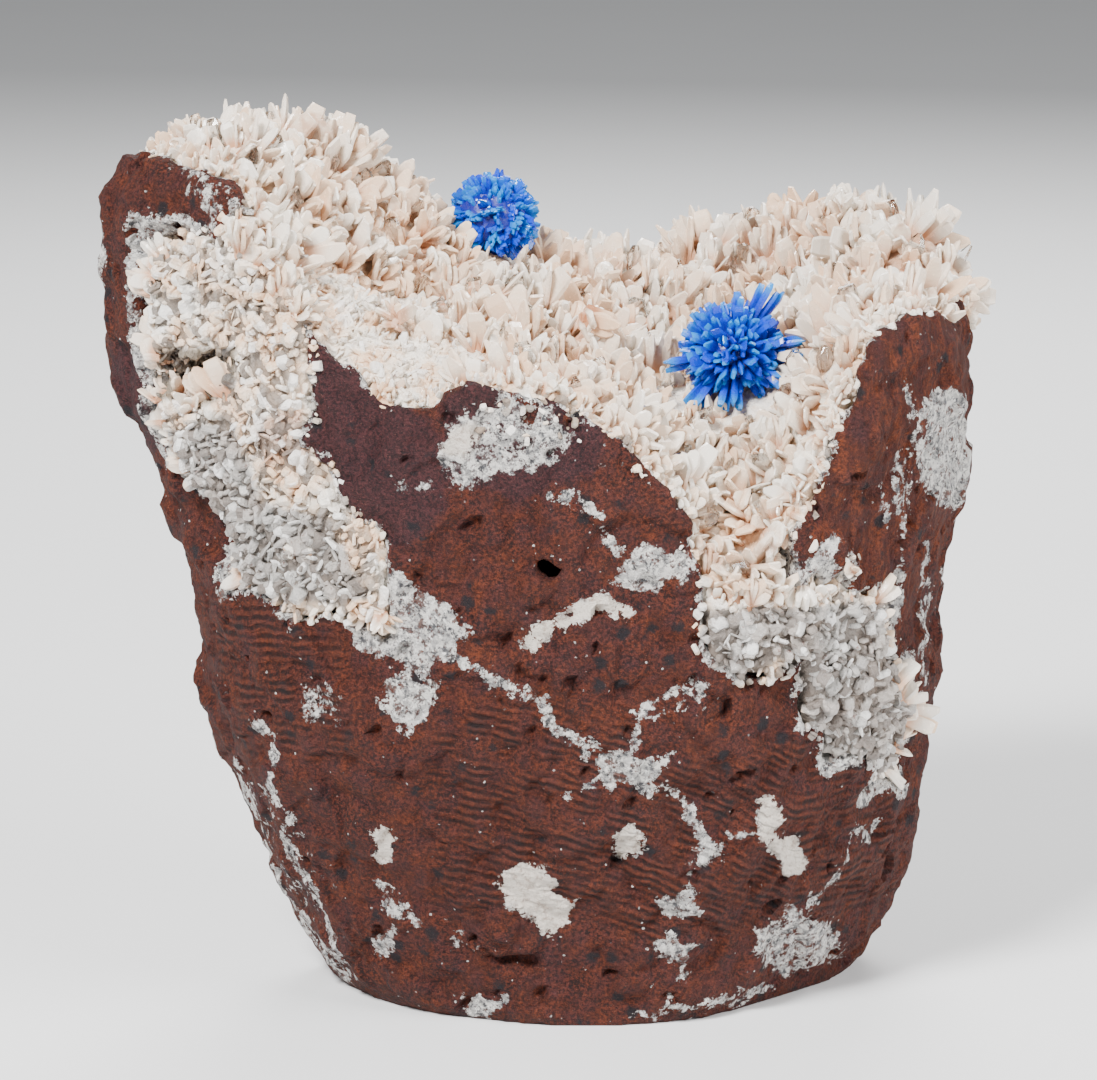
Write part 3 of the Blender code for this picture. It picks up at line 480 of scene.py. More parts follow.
def mineral_grain():
    """Shared group: speckle, painted glints and fine relief of a broken mineral surface."""
    group = bpy.data.node_groups.get("mineral_grain")
    if group:
        return group
    group = bpy.data.node_groups.new("mineral_grain", "ShaderNodeTree")
    size = group.interface.new_socket("Size", in_out="INPUT", socket_type="NodeSocketFloat")
    size.default_value = 1.0
    for name in ("Speckle", "Painted glint", "Height"):
        group.interface.new_socket(name, in_out="OUTPUT", socket_type="NodeSocketFloat")
    nodes = Nodes(group)
    given = nodes.add("NodeGroupInput")
    place = nodes.add("ShaderNodeVectorMath", {0: nodes.place(), "Scale": given.outputs["Size"]},
                      operation="SCALE").outputs[0]
    coarse = nodes.add("ShaderNodeTexNoise", {"Vector": place, "Scale": 1900.0, "Detail": 4.0,
                                              "Roughness": 0.75})
    fine = nodes.add("ShaderNodeTexNoise", {"Vector": place, "Scale": 5200.0, "Detail": 2.0,
                                            "Roughness": 0.6})
    grains = nodes.add("ShaderNodeTexVoronoi", {"Vector": place, "Scale": 2600.0})
    height = nodes.plus(coarse.outputs["Fac"], nodes.times(fine.outputs["Fac"], 0.45))
    height = nodes.plus(height, nodes.times(grains.outputs["Distance"], 0.35))
    # Painted glints: the brightest specks of the fine noise, mixed into colour as light catching the
    # grains.
    painted_glint = nodes.span(fine.outputs["Fac"], 0.66, 0.74)
    speckle = nodes.span(coarse.outputs["Fac"], 0.3, 0.7)
    nodes.add("NodeGroupOutput", {"Speckle": speckle, "Painted glint": painted_glint, "Height": height})
    return group


def basalt_material(settings):
    """Red basalt with white veins and patches, purple and orange ground and saw marks."""
    material, nodes, shader = new_material("basalt", Roughness=0.85, Metallic=0.0,
                                           Specular_IOR_Level=0.25)
    grain = nodes.add("ShaderNodeGroup", node_tree=mineral_grain())
    grain.inputs["Size"].default_value = 1.9
    speckle = grain.outputs["Speckle"]
    broad = nodes.noise(7.0, detail=3.0, rough=0.65)
    tone = nodes.plus(nodes.times(speckle, 0.75), nodes.times(broad, 0.4))
    colour = nodes.mix(nodes.span(tone, 0.36, 0.88), settings.dark, settings.light)
    orange = nodes.plus(nodes.attribute("orange"), nodes.times(nodes.noise(2.5, detail=2.0), 1.2))
    orange = nodes.span(orange, 0.2, 1.1)
    colour = nodes.mix(nodes.times(orange, 0.75), colour,
                       nodes.mix(speckle, (0.05, 0.010, 0.005), (0.22, 0.050, 0.014)))
    upright = nodes.add("ShaderNodeMapping", {"Vector": nodes.place(), "Scale": (1.0, 1.0, 0.12)})
    streaks = nodes.add("ShaderNodeTexNoise", {"Vector": upright.outputs[0], "Scale": 1400.0,
                                               "Detail": 4.0}).outputs["Fac"]
    streaks = nodes.times(nodes.span(streaks, 0.42, 0.58), nodes.times(orange, 0.7))
    colour = nodes.mix(streaks, colour, (0.040, 0.009, 0.005))
    purple = nodes.plus(nodes.attribute("purple"), nodes.times(nodes.noise(1.8, detail=2.0), 1.4))
    colour = nodes.mix(nodes.times(nodes.span(purple, 0.3, 1.3), 0.8), colour,
                       nodes.mix(speckle, (0.008, 0.004, 0.006), (0.065, 0.024, 0.030)))
    spots = nodes.times(nodes.noise(0.4, detail=1.0), 0.3)
    spots = nodes.math("SUBTRACT", nodes.cells(420.0)["Distance"], spots)
    spots = nodes.times(nodes.span(spots, 0.0, 0.16, 0.9, 0.0),
                        nodes.span(nodes.noise(3.0, detail=2.0), 0.44, 0.52))
    colour = nodes.mix(spots, colour, (0.010, 0.010, 0.013))
    # Painted glints: tiny lighter red specks where light would catch the grains.
    colour = nodes.mix(nodes.times(grain.outputs["Painted glint"], 0.5), colour, (0.30, 0.13, 0.09))
    dots = nodes.plus(nodes.cells(900.0)["Distance"], nodes.times(nodes.noise(0.2, detail=1.0), 0.2))
    dots = nodes.times(nodes.span(dots, 0.17, 0.21, 1.0, 0.0),
                       nodes.span(nodes.noise(1.9, detail=2.0), 0.5, 0.54))
    line = nodes.plus(nodes.attribute("saw_line"), nodes.times(nodes.noise(2.2, detail=4.0), 1.1))
    ridge = nodes.math("SINE", nodes.times(line, 2 * math.pi / SAW_STEP))
    depth = nodes.times(nodes.attribute("sawn"), nodes.span(nodes.noise(2.0, detail=3.0), 0.38, 0.6))
    ridge = nodes.times(nodes.span(ridge, -0.9, 0.9), depth)
    trough_shade = nodes.math("SUBTRACT", depth, ridge)
    # Painted shade in the troughs of the saw marks and a painted highlight on their ridges; the ridges
    # also shape the bump.
    colour = nodes.mix(nodes.times(trough_shade, 0.75), colour, settings.dark)
    colour = nodes.mix(nodes.times(ridge, 0.3), colour, (0.17, 0.040, 0.018))
    ragged = nodes.math("SUBTRACT", nodes.noise(1.1, detail=5.0, rough=0.7), 0.5)
    ragged = nodes.times(ragged, 3.2)
    veins = nodes.span(nodes.plus(nodes.attribute("white"), ragged), 0.0, 0.1)
    mixed = nodes.plus(nodes.attribute("mottle"), nodes.times(ragged, 0.42))
    mixed = nodes.span(nodes.plus(mixed, nodes.times(nodes.noise(0.45), 0.5)), 0.72, 0.84)
    white = nodes.math("MAXIMUM", nodes.math("MAXIMUM", veins, mixed), dots)
    cream = nodes.attribute("cream")
    vein_tone = nodes.noise(0.7, detail=4.0, rough=0.8)
    vein_colour = nodes.mix(nodes.span(vein_tone, 0.38, 0.53), (0.050, 0.050, 0.055), settings.vein)
    cell = nodes.add("ShaderNodeSeparateColor", {"Color": nodes.cells(2100.0)["Color"]}).outputs["Red"]
    vein_colour = nodes.mix(nodes.span(cell, 0.2, 0.6, 0.5, 0.0), vein_colour, (0.15, 0.15, 0.155))
    glints = nodes.span(nodes.noise(0.4, detail=2.0), 0.58, 0.68)
    vein_colour = nodes.mix(glints, vein_colour, (0.85, 0.83, 0.80))
    plain = nodes.mix(nodes.span(vein_tone, 0.35, 0.5), (0.50, 0.40, 0.33), (0.78, 0.70, 0.61))
    vein_colour = nodes.mix(cream, vein_colour, plain)
    holes = nodes.span(nodes.noise(0.9, detail=4.0, rough=0.75), 0.40, 0.47, 0.12, 1.0)
    white = nodes.times(white, nodes.math("MAXIMUM", holes, cream))
    colour = nodes.mix(white, colour, vein_colour)
    rough = nodes.plus(nodes.times(speckle, 0.2), nodes.span(white, 0.0, 1.0, 0.72, 0.3))
    height = nodes.plus(grain.outputs["Height"], nodes.times(ridge, 0.9))
    height = nodes.math("SUBTRACT", height, nodes.times(streaks, 0.4))
    nodes.feed(shader, Base_Color=colour, Roughness=rough, Normal=nodes.bump(height, 0.42))
    return material


def white_material(settings, name, grey_share, by_grain=False):
    """Massive zeolite: cloudy white, peach and grey, with red-brown dust in its pits."""
    material, nodes, shader = new_material(name, Roughness=0.5, Metallic=0.0)
    grain = nodes.add("ShaderNodeGroup", node_tree=mineral_grain())
    grain.inputs["Size"].default_value = 0.8
    cloud = nodes.noise(3.2, detail=3.0, rough=0.6)
    colour = nodes.mix(nodes.span(cloud, 0.38, 0.62), settings.peach, settings.white)
    grey = nodes.plus(nodes.times(nodes.attribute("grey"), 0.7), nodes.noise(1.6))
    grey = nodes.span(grey, 0.5, 0.95)
    colour = nodes.mix(nodes.times(grey, grey_share), colour, (0.33, 0.32, 0.31))
    pink = nodes.span(nodes.plus(nodes.attribute("pink"), nodes.noise(1.3)), 0.55, 1.3)
    colour = nodes.mix(nodes.times(pink, 0.6), colour, (0.42, 0.19, 0.10))
    dust = nodes.times(nodes.span(nodes.noise(0.8, detail=4.0, rough=0.75), 0.60, 0.68), 0.75)
    colour = nodes.mix(dust, colour, (0.16, 0.06, 0.04))
    # Painted glints: near-white specks where light would catch the crystal faces.
    colour = nodes.mix(nodes.times(grain.outputs["Painted glint"], 0.5), colour, (0.95, 0.94, 0.92))
    if by_grain:
        tone = nodes.attribute("tone")
        colour = nodes.mix(nodes.span(tone, 0.08, 0.36, 0.85, 0.0), colour, (0.15, 0.12, 0.10))
        colour = nodes.mix(nodes.span(tone, 0.72, 0.95, 0.0, 0.8), colour, (0.88, 0.86, 0.83))
    else:
        # Painted shade between the grains: the crust under the grains of the massive walls is darkened.
        gap_shade = nodes.times(nodes.attribute("gap_shade"), 0.85)
        colour = nodes.mix(gap_shade, colour, (0.11, 0.085, 0.068))
    # Painted shade darkens the hollow, over every colour before it.
    shade = nodes.span(nodes.plus(nodes.attribute("shade"), nodes.noise(1.0)), 0.65, 1.35)
    shaded = nodes.mix(nodes.span(cloud, 0.4, 0.6), (0.030, 0.024, 0.022), (0.19, 0.15, 0.10))
    colour = nodes.mix(nodes.times(shade, 0.9), colour, shaded)
    nodes.feed(shader, Base_Color=colour, Normal=nodes.bump(grain.outputs["Height"], 0.3),
               Roughness=nodes.span(grain.outputs["Speckle"], 0.0, 1.0, 0.22, 0.55))
    return material


def blade_material(settings):
    """Stilbite: pearly blades, peach and darker at their roots, partly their own colour and partly
    painted shade between them, and white towards their points.
    """
    material, nodes, shader = new_material("stilbite", Roughness=0.15, Metallic=0.0, IOR=1.5,
                                           Transmission_Weight=0.12)
    tone = nodes.plus(nodes.times(nodes.attribute("tone"), 0.85), nodes.times(nodes.noise(0.8), 0.3))
    tips = nodes.mix(nodes.span(tone, 0.25, 0.85), settings.peach, settings.white)
    # Darker orange-brown at the roots: partly the blades' own peach, partly painted shade in the gaps
    # between them.
    roots = nodes.mix(tone, (0.46, 0.17, 0.07), (0.74, 0.47, 0.31))
    colour = nodes.mix(nodes.span(nodes.attribute("tip"), 0.18, 0.72), roots, tips)
    tint_shares = nodes.times(nodes.span(nodes.noise(4.0, detail=5.0), 0.58, 0.7), 0.55)
    colour = nodes.mix(tint_shares, colour, (0.46, 0.20, 0.09))
    streaks = nodes.noise(0.35, detail=3.0)
    nodes.feed(shader, Base_Color=colour, Roughness=nodes.span(streaks, 0.3, 0.7, 0.08, 0.3),
               Normal=nodes.bump(streaks, 0.04))
    return material


def clear_material():
    """Clear crystals: plain glass-like mineral."""
    material, nodes, shader = new_material("clear_stilbite", Roughness=0.06, Metallic=0.0, IOR=1.5,
                                           Transmission_Weight=1.0)
    cloud = nodes.noise(0.9, detail=4.0)
    colour = nodes.mix(nodes.span(cloud, 0.4, 0.65), (0.97, 0.96, 0.95), (0.86, 0.82, 0.77))
    nodes.feed(shader, Base_Color=colour, Roughness=nodes.span(cloud, 0.4, 0.7, 0.03, 0.3))
    return material


def blue_material(settings, name, lightens_from):
    """Cavansite: deep blue inside a ball, lighter to the ends of its blades."""
    material, nodes, shader = new_material(name, Roughness=0.25, Metallic=0.0, Coat_Weight=0.15,
                                           Coat_Roughness=0.05)
    tone = nodes.plus(nodes.attribute("tone"), nodes.times(nodes.noise(0.6), 0.3))
    body = nodes.mix(nodes.span(nodes.attribute("tip"), 0.3, 0.8), settings.deep, settings.bright)
    ends = nodes.span(nodes.attribute("tip"), lightens_from, 1.0)
    ends = nodes.times(ends, nodes.span(tone, 0.3, 1.0))
    lines = nodes.noise(0.22, detail=3.0)
    nodes.feed(shader, Base_Color=nodes.mix(ends, body, settings.tips),
               Roughness=nodes.span(lines, 0.3, 0.7, 0.14, 0.42), Normal=nodes.bump(lines, 0.04))
    return material


def rock_values(item, points, facing):
    """Store on the rock where its veins, patches, colours and saw marks are."""
    x, y = photo_pixels(points)
    aside = np.clip(points[:, 0] - SAW_SUMMIT, -20, 34)
    add_values(item, "saw_line", points[:, 2] + SAW_BOW * aside ** 2)
    x += 9.0 * noise_at(points, 2.9, offset=11.0) + 5.0 * noise_at(points, 1.1, offset=12.0)
    y += 9.0 * noise_at(points, 2.9, offset=13.0) + 5.0 * noise_at(points, 1.1, offset=14.0)
    veins = [(width / 2 - path_distance(x, y, path)) * MM_PER_PIXEL for path, width in VEINS]
    cream = deepest(x, y, CREAM_PATCHES)
    white = np.max([np.max(veins, axis=0), deepest(x, y, CRYSTAL_PATCHES), cream], axis=0)
    mottle = np.max([share * 1.1 * smooth_step(outline_depth(x, y, outline), -0.9, 1.3)
                     for outline, share in MOTTLED], axis=0)
    seen = smooth_step(facing, 0.02, 0.2)
    elsewhere = 2.6 * (noise_at(points, 5.5, offset=3.0) - 0.52)
    threads = 0.35 - 9.0 * np.abs(noise_at(points, 11.0, offset=9.0))
    threads -= 1.2 * noise_at(points, 6.0, offset=5.0)
    elsewhere = np.maximum(elsewhere, np.minimum(threads, 0.35))
    white = seen * white + (1 - seen) * elsewhere
    crust = tree_of(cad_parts["stilbite_crust"])
    fringe = np.full(len(points), -9.0)
    for index, point in enumerate(points):
        distance = crust.find_nearest(Vector(point), 3.0)[3]
        if distance is not None:
            fringe[index] = 0.75 - 0.9 * distance
    add_values(item, "white", np.clip(np.maximum(white, fringe), -2.5, 1.5))
    add_values(item, "cream", seen * smooth_step(cream, -0.3, 0.2))
    strewn = 0.25 * smooth_step(noise_at(points, 4.5, offset=2.0), -0.1, 0.5)
    mottle = seen * mottle + (1 - seen) * 0.35 * smooth_step(noise_at(points, 7.0), 0.1, 0.5)
    add_values(item, "mottle", np.maximum(mottle, strewn))
    purple = smooth_step(deepest(x, y, PURPLE_ROCK), -0.8, 0.8)
    add_values(item, "purple", seen * purple - (1 - seen) * 0.2)
    orange = smooth_step(deepest(x, y, ORANGE_ROCK), -1.0, 1.0)
    add_values(item, "orange", seen * orange - (1 - seen) * 0.1)
    sawn = smooth_step(deepest(x, y, SAWN_ROCK), -1.0, 1.5)
    sawn_behind = 0.5 * smooth_step(noise_at(points, 14.0), 0.0, 0.3)
    add_values(item, "sawn", seen * sawn + (1 - seen) * sawn_behind)


def tint_shares(item, x, y):
    """Store on a white piece where it is grey, where it is stained pink, and where the hollow gets
    painted shade.
    """
    add_values(item, "grey", smooth_step(deepest(x, y, GREY_MASS), -0.5, 0.8))
    add_values(item, "pink", smooth_step(deepest(x, y, PINK_STAINS), -0.8, 0.8))
    add_values(item, "shade", smooth_step(deepest(x, y, HOLLOW_SHADE), -0.4, 0.8))


def above_floor(points):
    """0 at the flat underside, 1 well above it: relief fades out with it."""
    return smooth_step(points[:, 2], 0.1, 1.6)


class SPECIMEN_OT_basalt_block(bpy.types.Operator):
    """Model the block of red basalt"""
    bl_idname = "specimen.basalt_block"
    bl_label = "Basalt block"

    def execute(self, context):
        settings = context.scene.specimen_rock
        item = solid_copy("basalt_matrix", "basalt_block")
        apply_modifier(item, "REMESH", mode="VOXEL", voxel_size=settings.grid)
        apply_modifier(item, "SMOOTH", iterations=3, factor=0.5)
        points = places(item)
        outward = normals(item)
        broken = np.abs(noise_at(points, 4.6)) * 1.3 - 0.4
        broken += 0.45 * noise_at(points, 2.1, offset=4.0)
        rough = noise_at(points, 1.05, offset=8.0)
        ledges = smooth_step(noise_at(points, 7.0, offset=21.0), 0.02, 0.10)
        ledges += 0.7 * smooth_step(noise_at(points, 3.6, offset=23.0), 0.05, 0.15) - 0.7
        pits = smooth_step(noise_at(points, 1.7, offset=25.0), 0.52, 0.68)
        relief = settings.broken / MM * (broken + 0.75 * ledges - 1.3 * pits)
        relief += settings.rough / MM * rough
        points += outward * (relief * above_floor(points))[:, None]
        points[:, 2] = np.maximum(points[:, 2], 0.0)
        set_places(item, points)
        rock_values(item, points, outward @ TO_CAMERA)
        finish_piece(item, basalt_material(settings), "basalt_matrix", slot="basalt_matrix")
        return {"FINISHED"}


def relax_thin(item, thinnest):
    """Draw the standing crystals of the crust's solid down into the surface they stand on."""
    points = places(item)
    inward = -normals(item)
    tree = tree_of(item)
    thin = np.zeros(len(points), dtype=bool)
    for index, (point, direction) in enumerate(zip(points, inward)):
        start = Vector(point) + Vector(direction) * 0.02
        thin[index] = tree.ray_cast(start, Vector(direction), thinnest)[0] is not None
    one, two = read(item.data.edges, "vertices", 2, np.int64).T
    for _ in range(3):
        touched = thin.copy()
        np.logical_or.at(touched, one, thin[two])
        np.logical_or.at(touched, two, thin[one])
        thin = touched
    count = np.bincount(one, minlength=len(points)) + np.bincount(two, minlength=len(points))
    count = np.maximum(count, 1)
    for _ in range(RELAX_STEPS):
        mean = np.empty_like(points)
        for axis in range(3):
            mean[:, axis] = (np.bincount(one, points[two, axis], len(points))
                             + np.bincount(two, points[one, axis], len(points))) / count
        points[thin] = mean[thin]
    set_places(item, points)


class SPECIMEN_OT_zeolite_crust(bpy.types.Operator):
    """Model the massive white crust that the crystals stand on"""
    bl_idname = "specimen.zeolite_crust"
    bl_label = "Zeolite crust"

    def execute(self, context):
        settings = context.scene.specimen_crust
        item = solid_copy("stilbite_crust", "zeolite_crust")
        apply_modifier(item, "REMESH", mode="VOXEL", voxel_size=settings.grid)
        relax_thin(item, WEDGE)
        apply_modifier(item, "REMESH", mode="VOXEL", voxel_size=settings.grid)
        apply_modifier(item, "SMOOTH", iterations=3, factor=0.5)
        points = places(item)
        outward = normals(item)
        lumps = noise_at(points, 2.3) + 0.9 * np.abs(noise_at(points, 1.2, offset=6.0))
        x, y = photo_pixels(points)
        hollow = smooth_step(deepest(x, y, HOLLOW_SHADE), -0.2, 1.4) * (outward @ TO_CAMERA > 0)
        points += outward * (0.25 + settings.relief / MM * lumps - 1.5 * hollow)[:, None]
        set_places(item, points)
        # Grey, pink stains and the painted shade of the hollow.
        tint_shares(item, x, y)
        # Painted shade in the gaps between grains, on the massive walls.
        add_values(item, "gap_shade", smooth_step(massive(points, outward, facet_too=False), 0.2, 1.6))
        finish_piece(item, white_material(settings, "zeolite", 0.6), "stilbite_crust",
                     slot="stilbite_crust")
        return {"FINISHED"}


def model_crystal(name, width, thickness, shoulder, rings):
    """A flat six-sided crystal one unit long: a shaft, then rings of (height, width, depth, lean)."""
    deselect()
    bpy.ops.mesh.primitive_cylinder_add(vertices=6, radius=0.5, depth=shoulder,
                                        location=(0, 0, shoulder / 2))
    item = bpy.context.object
    item.name = name
    bpy.ops.object.transform_apply(location=True, rotation=True, scale=True)
    bpy.ops.object.mode_set(mode="EDIT")
    bpy.ops.mesh.select_all(action="SELECT")
    bpy.ops.transform.resize(value=(thickness / 0.866, width, 1.0), center_override=(0, 0, 0))
    mesh = bmesh.from_edit_mesh(item.data)
    for vert in mesh.verts:
        vert.select_set(abs(vert.co.y) < 0.4 * width)
    mesh.select_flush(True)
    bmesh.update_edit_mesh(item.data)
    bpy.ops.transform.resize(value=(1.0, 1.5, 1.0), center_override=(0, 0, 0))
    height = shoulder
    for top, wide, deep, lean in rings:
        mesh = bmesh.from_edit_mesh(item.data)
        for part in [*mesh.faces, *mesh.edges, *mesh.verts]:
            part.select_set(False)
        cap = max(mesh.faces, key=lambda face: face.calc_center_median().z)
        cap.select_set(True)
        mesh.select_flush(True)
        bmesh.update_edit_mesh(item.data)
        centre = cap.calc_center_median()
        step = (0, lean, top - height)
        bpy.ops.mesh.extrude_region_move(TRANSFORM_OT_translate={"value": step})
        bpy.ops.transform.resize(value=(deep, wide, 1.0), center_override=(0, centre.y + lean, top))
        height = top
    bpy.ops.object.mode_set(mode="OBJECT")
    shape = np.array([vert.co for vert in item.data.vertices])
    faces = [tuple(face.vertices) for face in item.data.polygons]
    bpy.data.objects.remove(item, do_unlink=True)
    return shape, faces


def join_copies(name, forms, copies):
    """One mesh of many placed copies.

    A copy is (which form, 4x4 placement in millimetres, tone). Its tip value runs from 0 to 1
    along its length.
    """
    points = []
    corners = []
    starts = []
    totals = []
    tips = []
    tones = []
    used = 0
    corner_count = 0
    for which, placement, tone in copies:
        shape, faces = forms[which]
        placed = shape @ placement[:3, :3].T + placement[:3, 3]
        points.append(placed)
        tips.append(shape[:, 2])
        tones.append(np.full(len(shape), tone))
        for face in faces:
            starts.append(corner_count)
            totals.append(len(face))
            corners.extend(used + corner for corner in face)
            corner_count += len(face)
        used += len(shape)
    mesh = bpy.data.meshes.new(name)
    mesh.vertices.add(used)
    mesh.vertices.foreach_set("co", (np.concatenate(points) * MM).ravel())
    mesh.loops.add(corner_count)
    mesh.loops.foreach_set("vertex_index", corners)
    mesh.polygons.add(len(starts))
    mesh.polygons.foreach_set("loop_start", starts)
    mesh.polygons.foreach_set("loop_total", totals)
    mesh.update(calc_edges=True)
    mesh.shade_flat()
    item = bpy.data.objects.new(name, mesh)
    bpy.context.scene.collection.objects.link(item)
    add_values(item, "tip", np.concatenate(tips))
    add_values(item, "tone", np.concatenate(tones))
    return item


def grow(copies, kind, point, direction, spin, width, thickness, length, tone):
    """Add one copy of a crystal form that stands at a point."""
    copies.append((int(kind), stand(point, direction, spin, width, thickness, length), float(tone)))


def stand(point, direction, spin, width, thickness, length):
    """Placement of a crystal at a point along a direction, with its size."""
    turn = Vector(direction).to_track_quat("Z", "Y").to_matrix().to_4x4()
    turn = np.array(turn @ Matrix.Rotation(spin, 4, "Z"))
    placement = turn @ np.diag((thickness, width, length, 1.0))
    placement[:3, 3] = point
    return placement


def unit(vector):
    return vector / max(np.linalg.norm(vector), 1e-9)


def open_faces(item, clear_of_rock=0.0):
    """Places, normals and areas of a piece's faces that don't lie against the basalt."""
    centres = read(item.data.polygons, "center") / MM
    outward = read(item.data.polygons, "normal")
    areas = read(item.data.polygons, "area", 1)[:, 0]
    tree = tree_of(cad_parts["basalt_matrix"])
    open_ones = np.ones(len(centres), dtype=bool)
    for index in range(len(centres)):
        start = Vector(centres[index] - outward[index] * 0.4)
        open_ones[index] = tree.ray_cast(start, Vector(outward[index]), 1.5)[0] is None
    if clear_of_rock > 0:
        for index in np.flatnonzero(open_ones):
            open_ones[index] = tree.find_nearest(Vector(centres[index]), clear_of_rock)[0] is None
    return centres[open_ones], outward[open_ones], areas[open_ones]


def spaced(chance, centres, outward, areas, spacing, most):
    """Places spread over the faces, no two nearer than the spacing."""
    picks = chance.choice(len(centres), size=most * 14, p=areas / areas.sum())
    cells = {}
    found = []
    for pick in picks:
        point = centres[pick] + chance.uniform(-0.2, 0.2, 3)
        cell = tuple(np.floor(point / spacing).astype(int))
        near = [other for dx in (-1, 0, 1) for dy in (-1, 0, 1) for dz in (-1, 0, 1)
                for other in cells.get((cell[0] + dx, cell[1] + dy, cell[2] + dz), ())]
        if any(np.linalg.norm(point - other) < spacing for other in near):
            continue
        cells.setdefault(cell, []).append(point)
        found.append((point, outward[pick]))
        if len(found) == most:
            break
    return found


def massive(points, outward, facet_too=True):
    """How far each place lies in the walls of massive zeolite, which bear few blades."""
    x, y = photo_pixels(points)
    walls = deepest(x, y, [LEFT_MASS, RIGHT_MASS])
    facet = outline_depth(x, y, MASSIVE_FACET)
    in_front = (points[:, 1] < SHIFT[1] + 6.0) & (outward @ TO_CAMERA > -0.3)
    walls = np.where(in_front & (outward[:, 2] < 0.8), walls + 1.0, -9.0)
    return np.maximum(walls, np.where(in_front, facet, -9.0)) if facet_too else walls


def near_rosette(point, margin):
    for centre, reach in ((UPPER_CENTRE, UPPER_REACH), (FRONT_CENTRE, FRONT_REACH)):
        if np.linalg.norm(point - centre) < reach + margin:
            return True
    return False


def stilbite_forms():
    """The four habits of the stilbite blades."""
    return [model_crystal("pointed", 1.0, 1.0, 0.66, [(0.86, 0.72, 0.8, 0.0), (1.0, 0.22, 0.5, 0.0)]),
            model_crystal("chisel", 1.0, 1.0, 0.84, [(1.0, 0.78, 0.45, 0.0)]),
            model_crystal("slanted", 1.0, 1.0, 0.7, [(1.0, 0.35, 0.5, 0.16)]),
            model_crystal("blunt", 1.0, 1.0, 0.76, [(0.93, 0.66, 0.8, 0.05), (1.0, 0.4, 0.6, 0.0)])]


def add_sheaf(chance, copies, point, normal, size, tone, settings, number):
    """A tuft or a fan of blades that spread from one point of the crust."""
    lean = unit(normal + chance.normal(0, 0.28, 3) + np.array((0, 0, 0.15)))
    side = unit(np.cross(lean, chance.normal(0, 1, 3)))
    other = np.cross(lean, side)
    fan = chance.random() < 0.4
    spin = chance.uniform(0, math.pi)
    for step in range(number):
        if fan:
            angle = (step / max(number - 1, 1) - 0.5) * chance.uniform(1.3, 1.7)
            direction = lean * math.cos(angle) + side * math.sin(angle) + other * chance.normal(0, 0.1)
            turn = 0.0
        else:
            around = GOLDEN_TURN * step + spin
            spread = 0.85 * math.sqrt((step + 0.3) / number)
            direction = lean + (side * math.cos(around) + other * math.sin(around)) * spread
            turn = chance.uniform(0, math.pi)
        direction = unit(direction + chance.normal(0, 0.07, 3))
        length = size * settings.length / MM * chance.uniform(0.7, 1.15)
        width = size ** 0.6 * settings.width / MM * chance.uniform(0.7, 1.25)
        thickness = width * chance.uniform(0.2, 0.36)
        root = point - lean * 0.55 + (side * chance.normal() + other * chance.normal()) * 0.22 * size
        grow(copies, chance.integers(0, 4), root, direction, turn, width, thickness, length,
             np.clip(tone + chance.normal(0, 0.13), 0, 1))


def crystal_tips(tree):
    """Tip and foot of each crystal of the crust's solid, tallest first."""
    points = places(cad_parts["stilbite_crust"])
    points = np.unique(np.round(points, 3), axis=0)
    tall = []
    for point in points:
        foot, outward, _, distance = tree.find_nearest(Vector(point))
        if distance > 1.5 and (Vector(point) - foot).dot(outward) > 0:
            tall.append((distance, tuple(point), tuple(foot)))
    tall.sort(reverse=True)
    found = []
    for _, tip, foot in tall:
        if all(np.linalg.norm(np.subtract(tip, other)) > 2.4 for other, _ in found):
            found.append((np.array(tip), np.array(foot)))
    return found


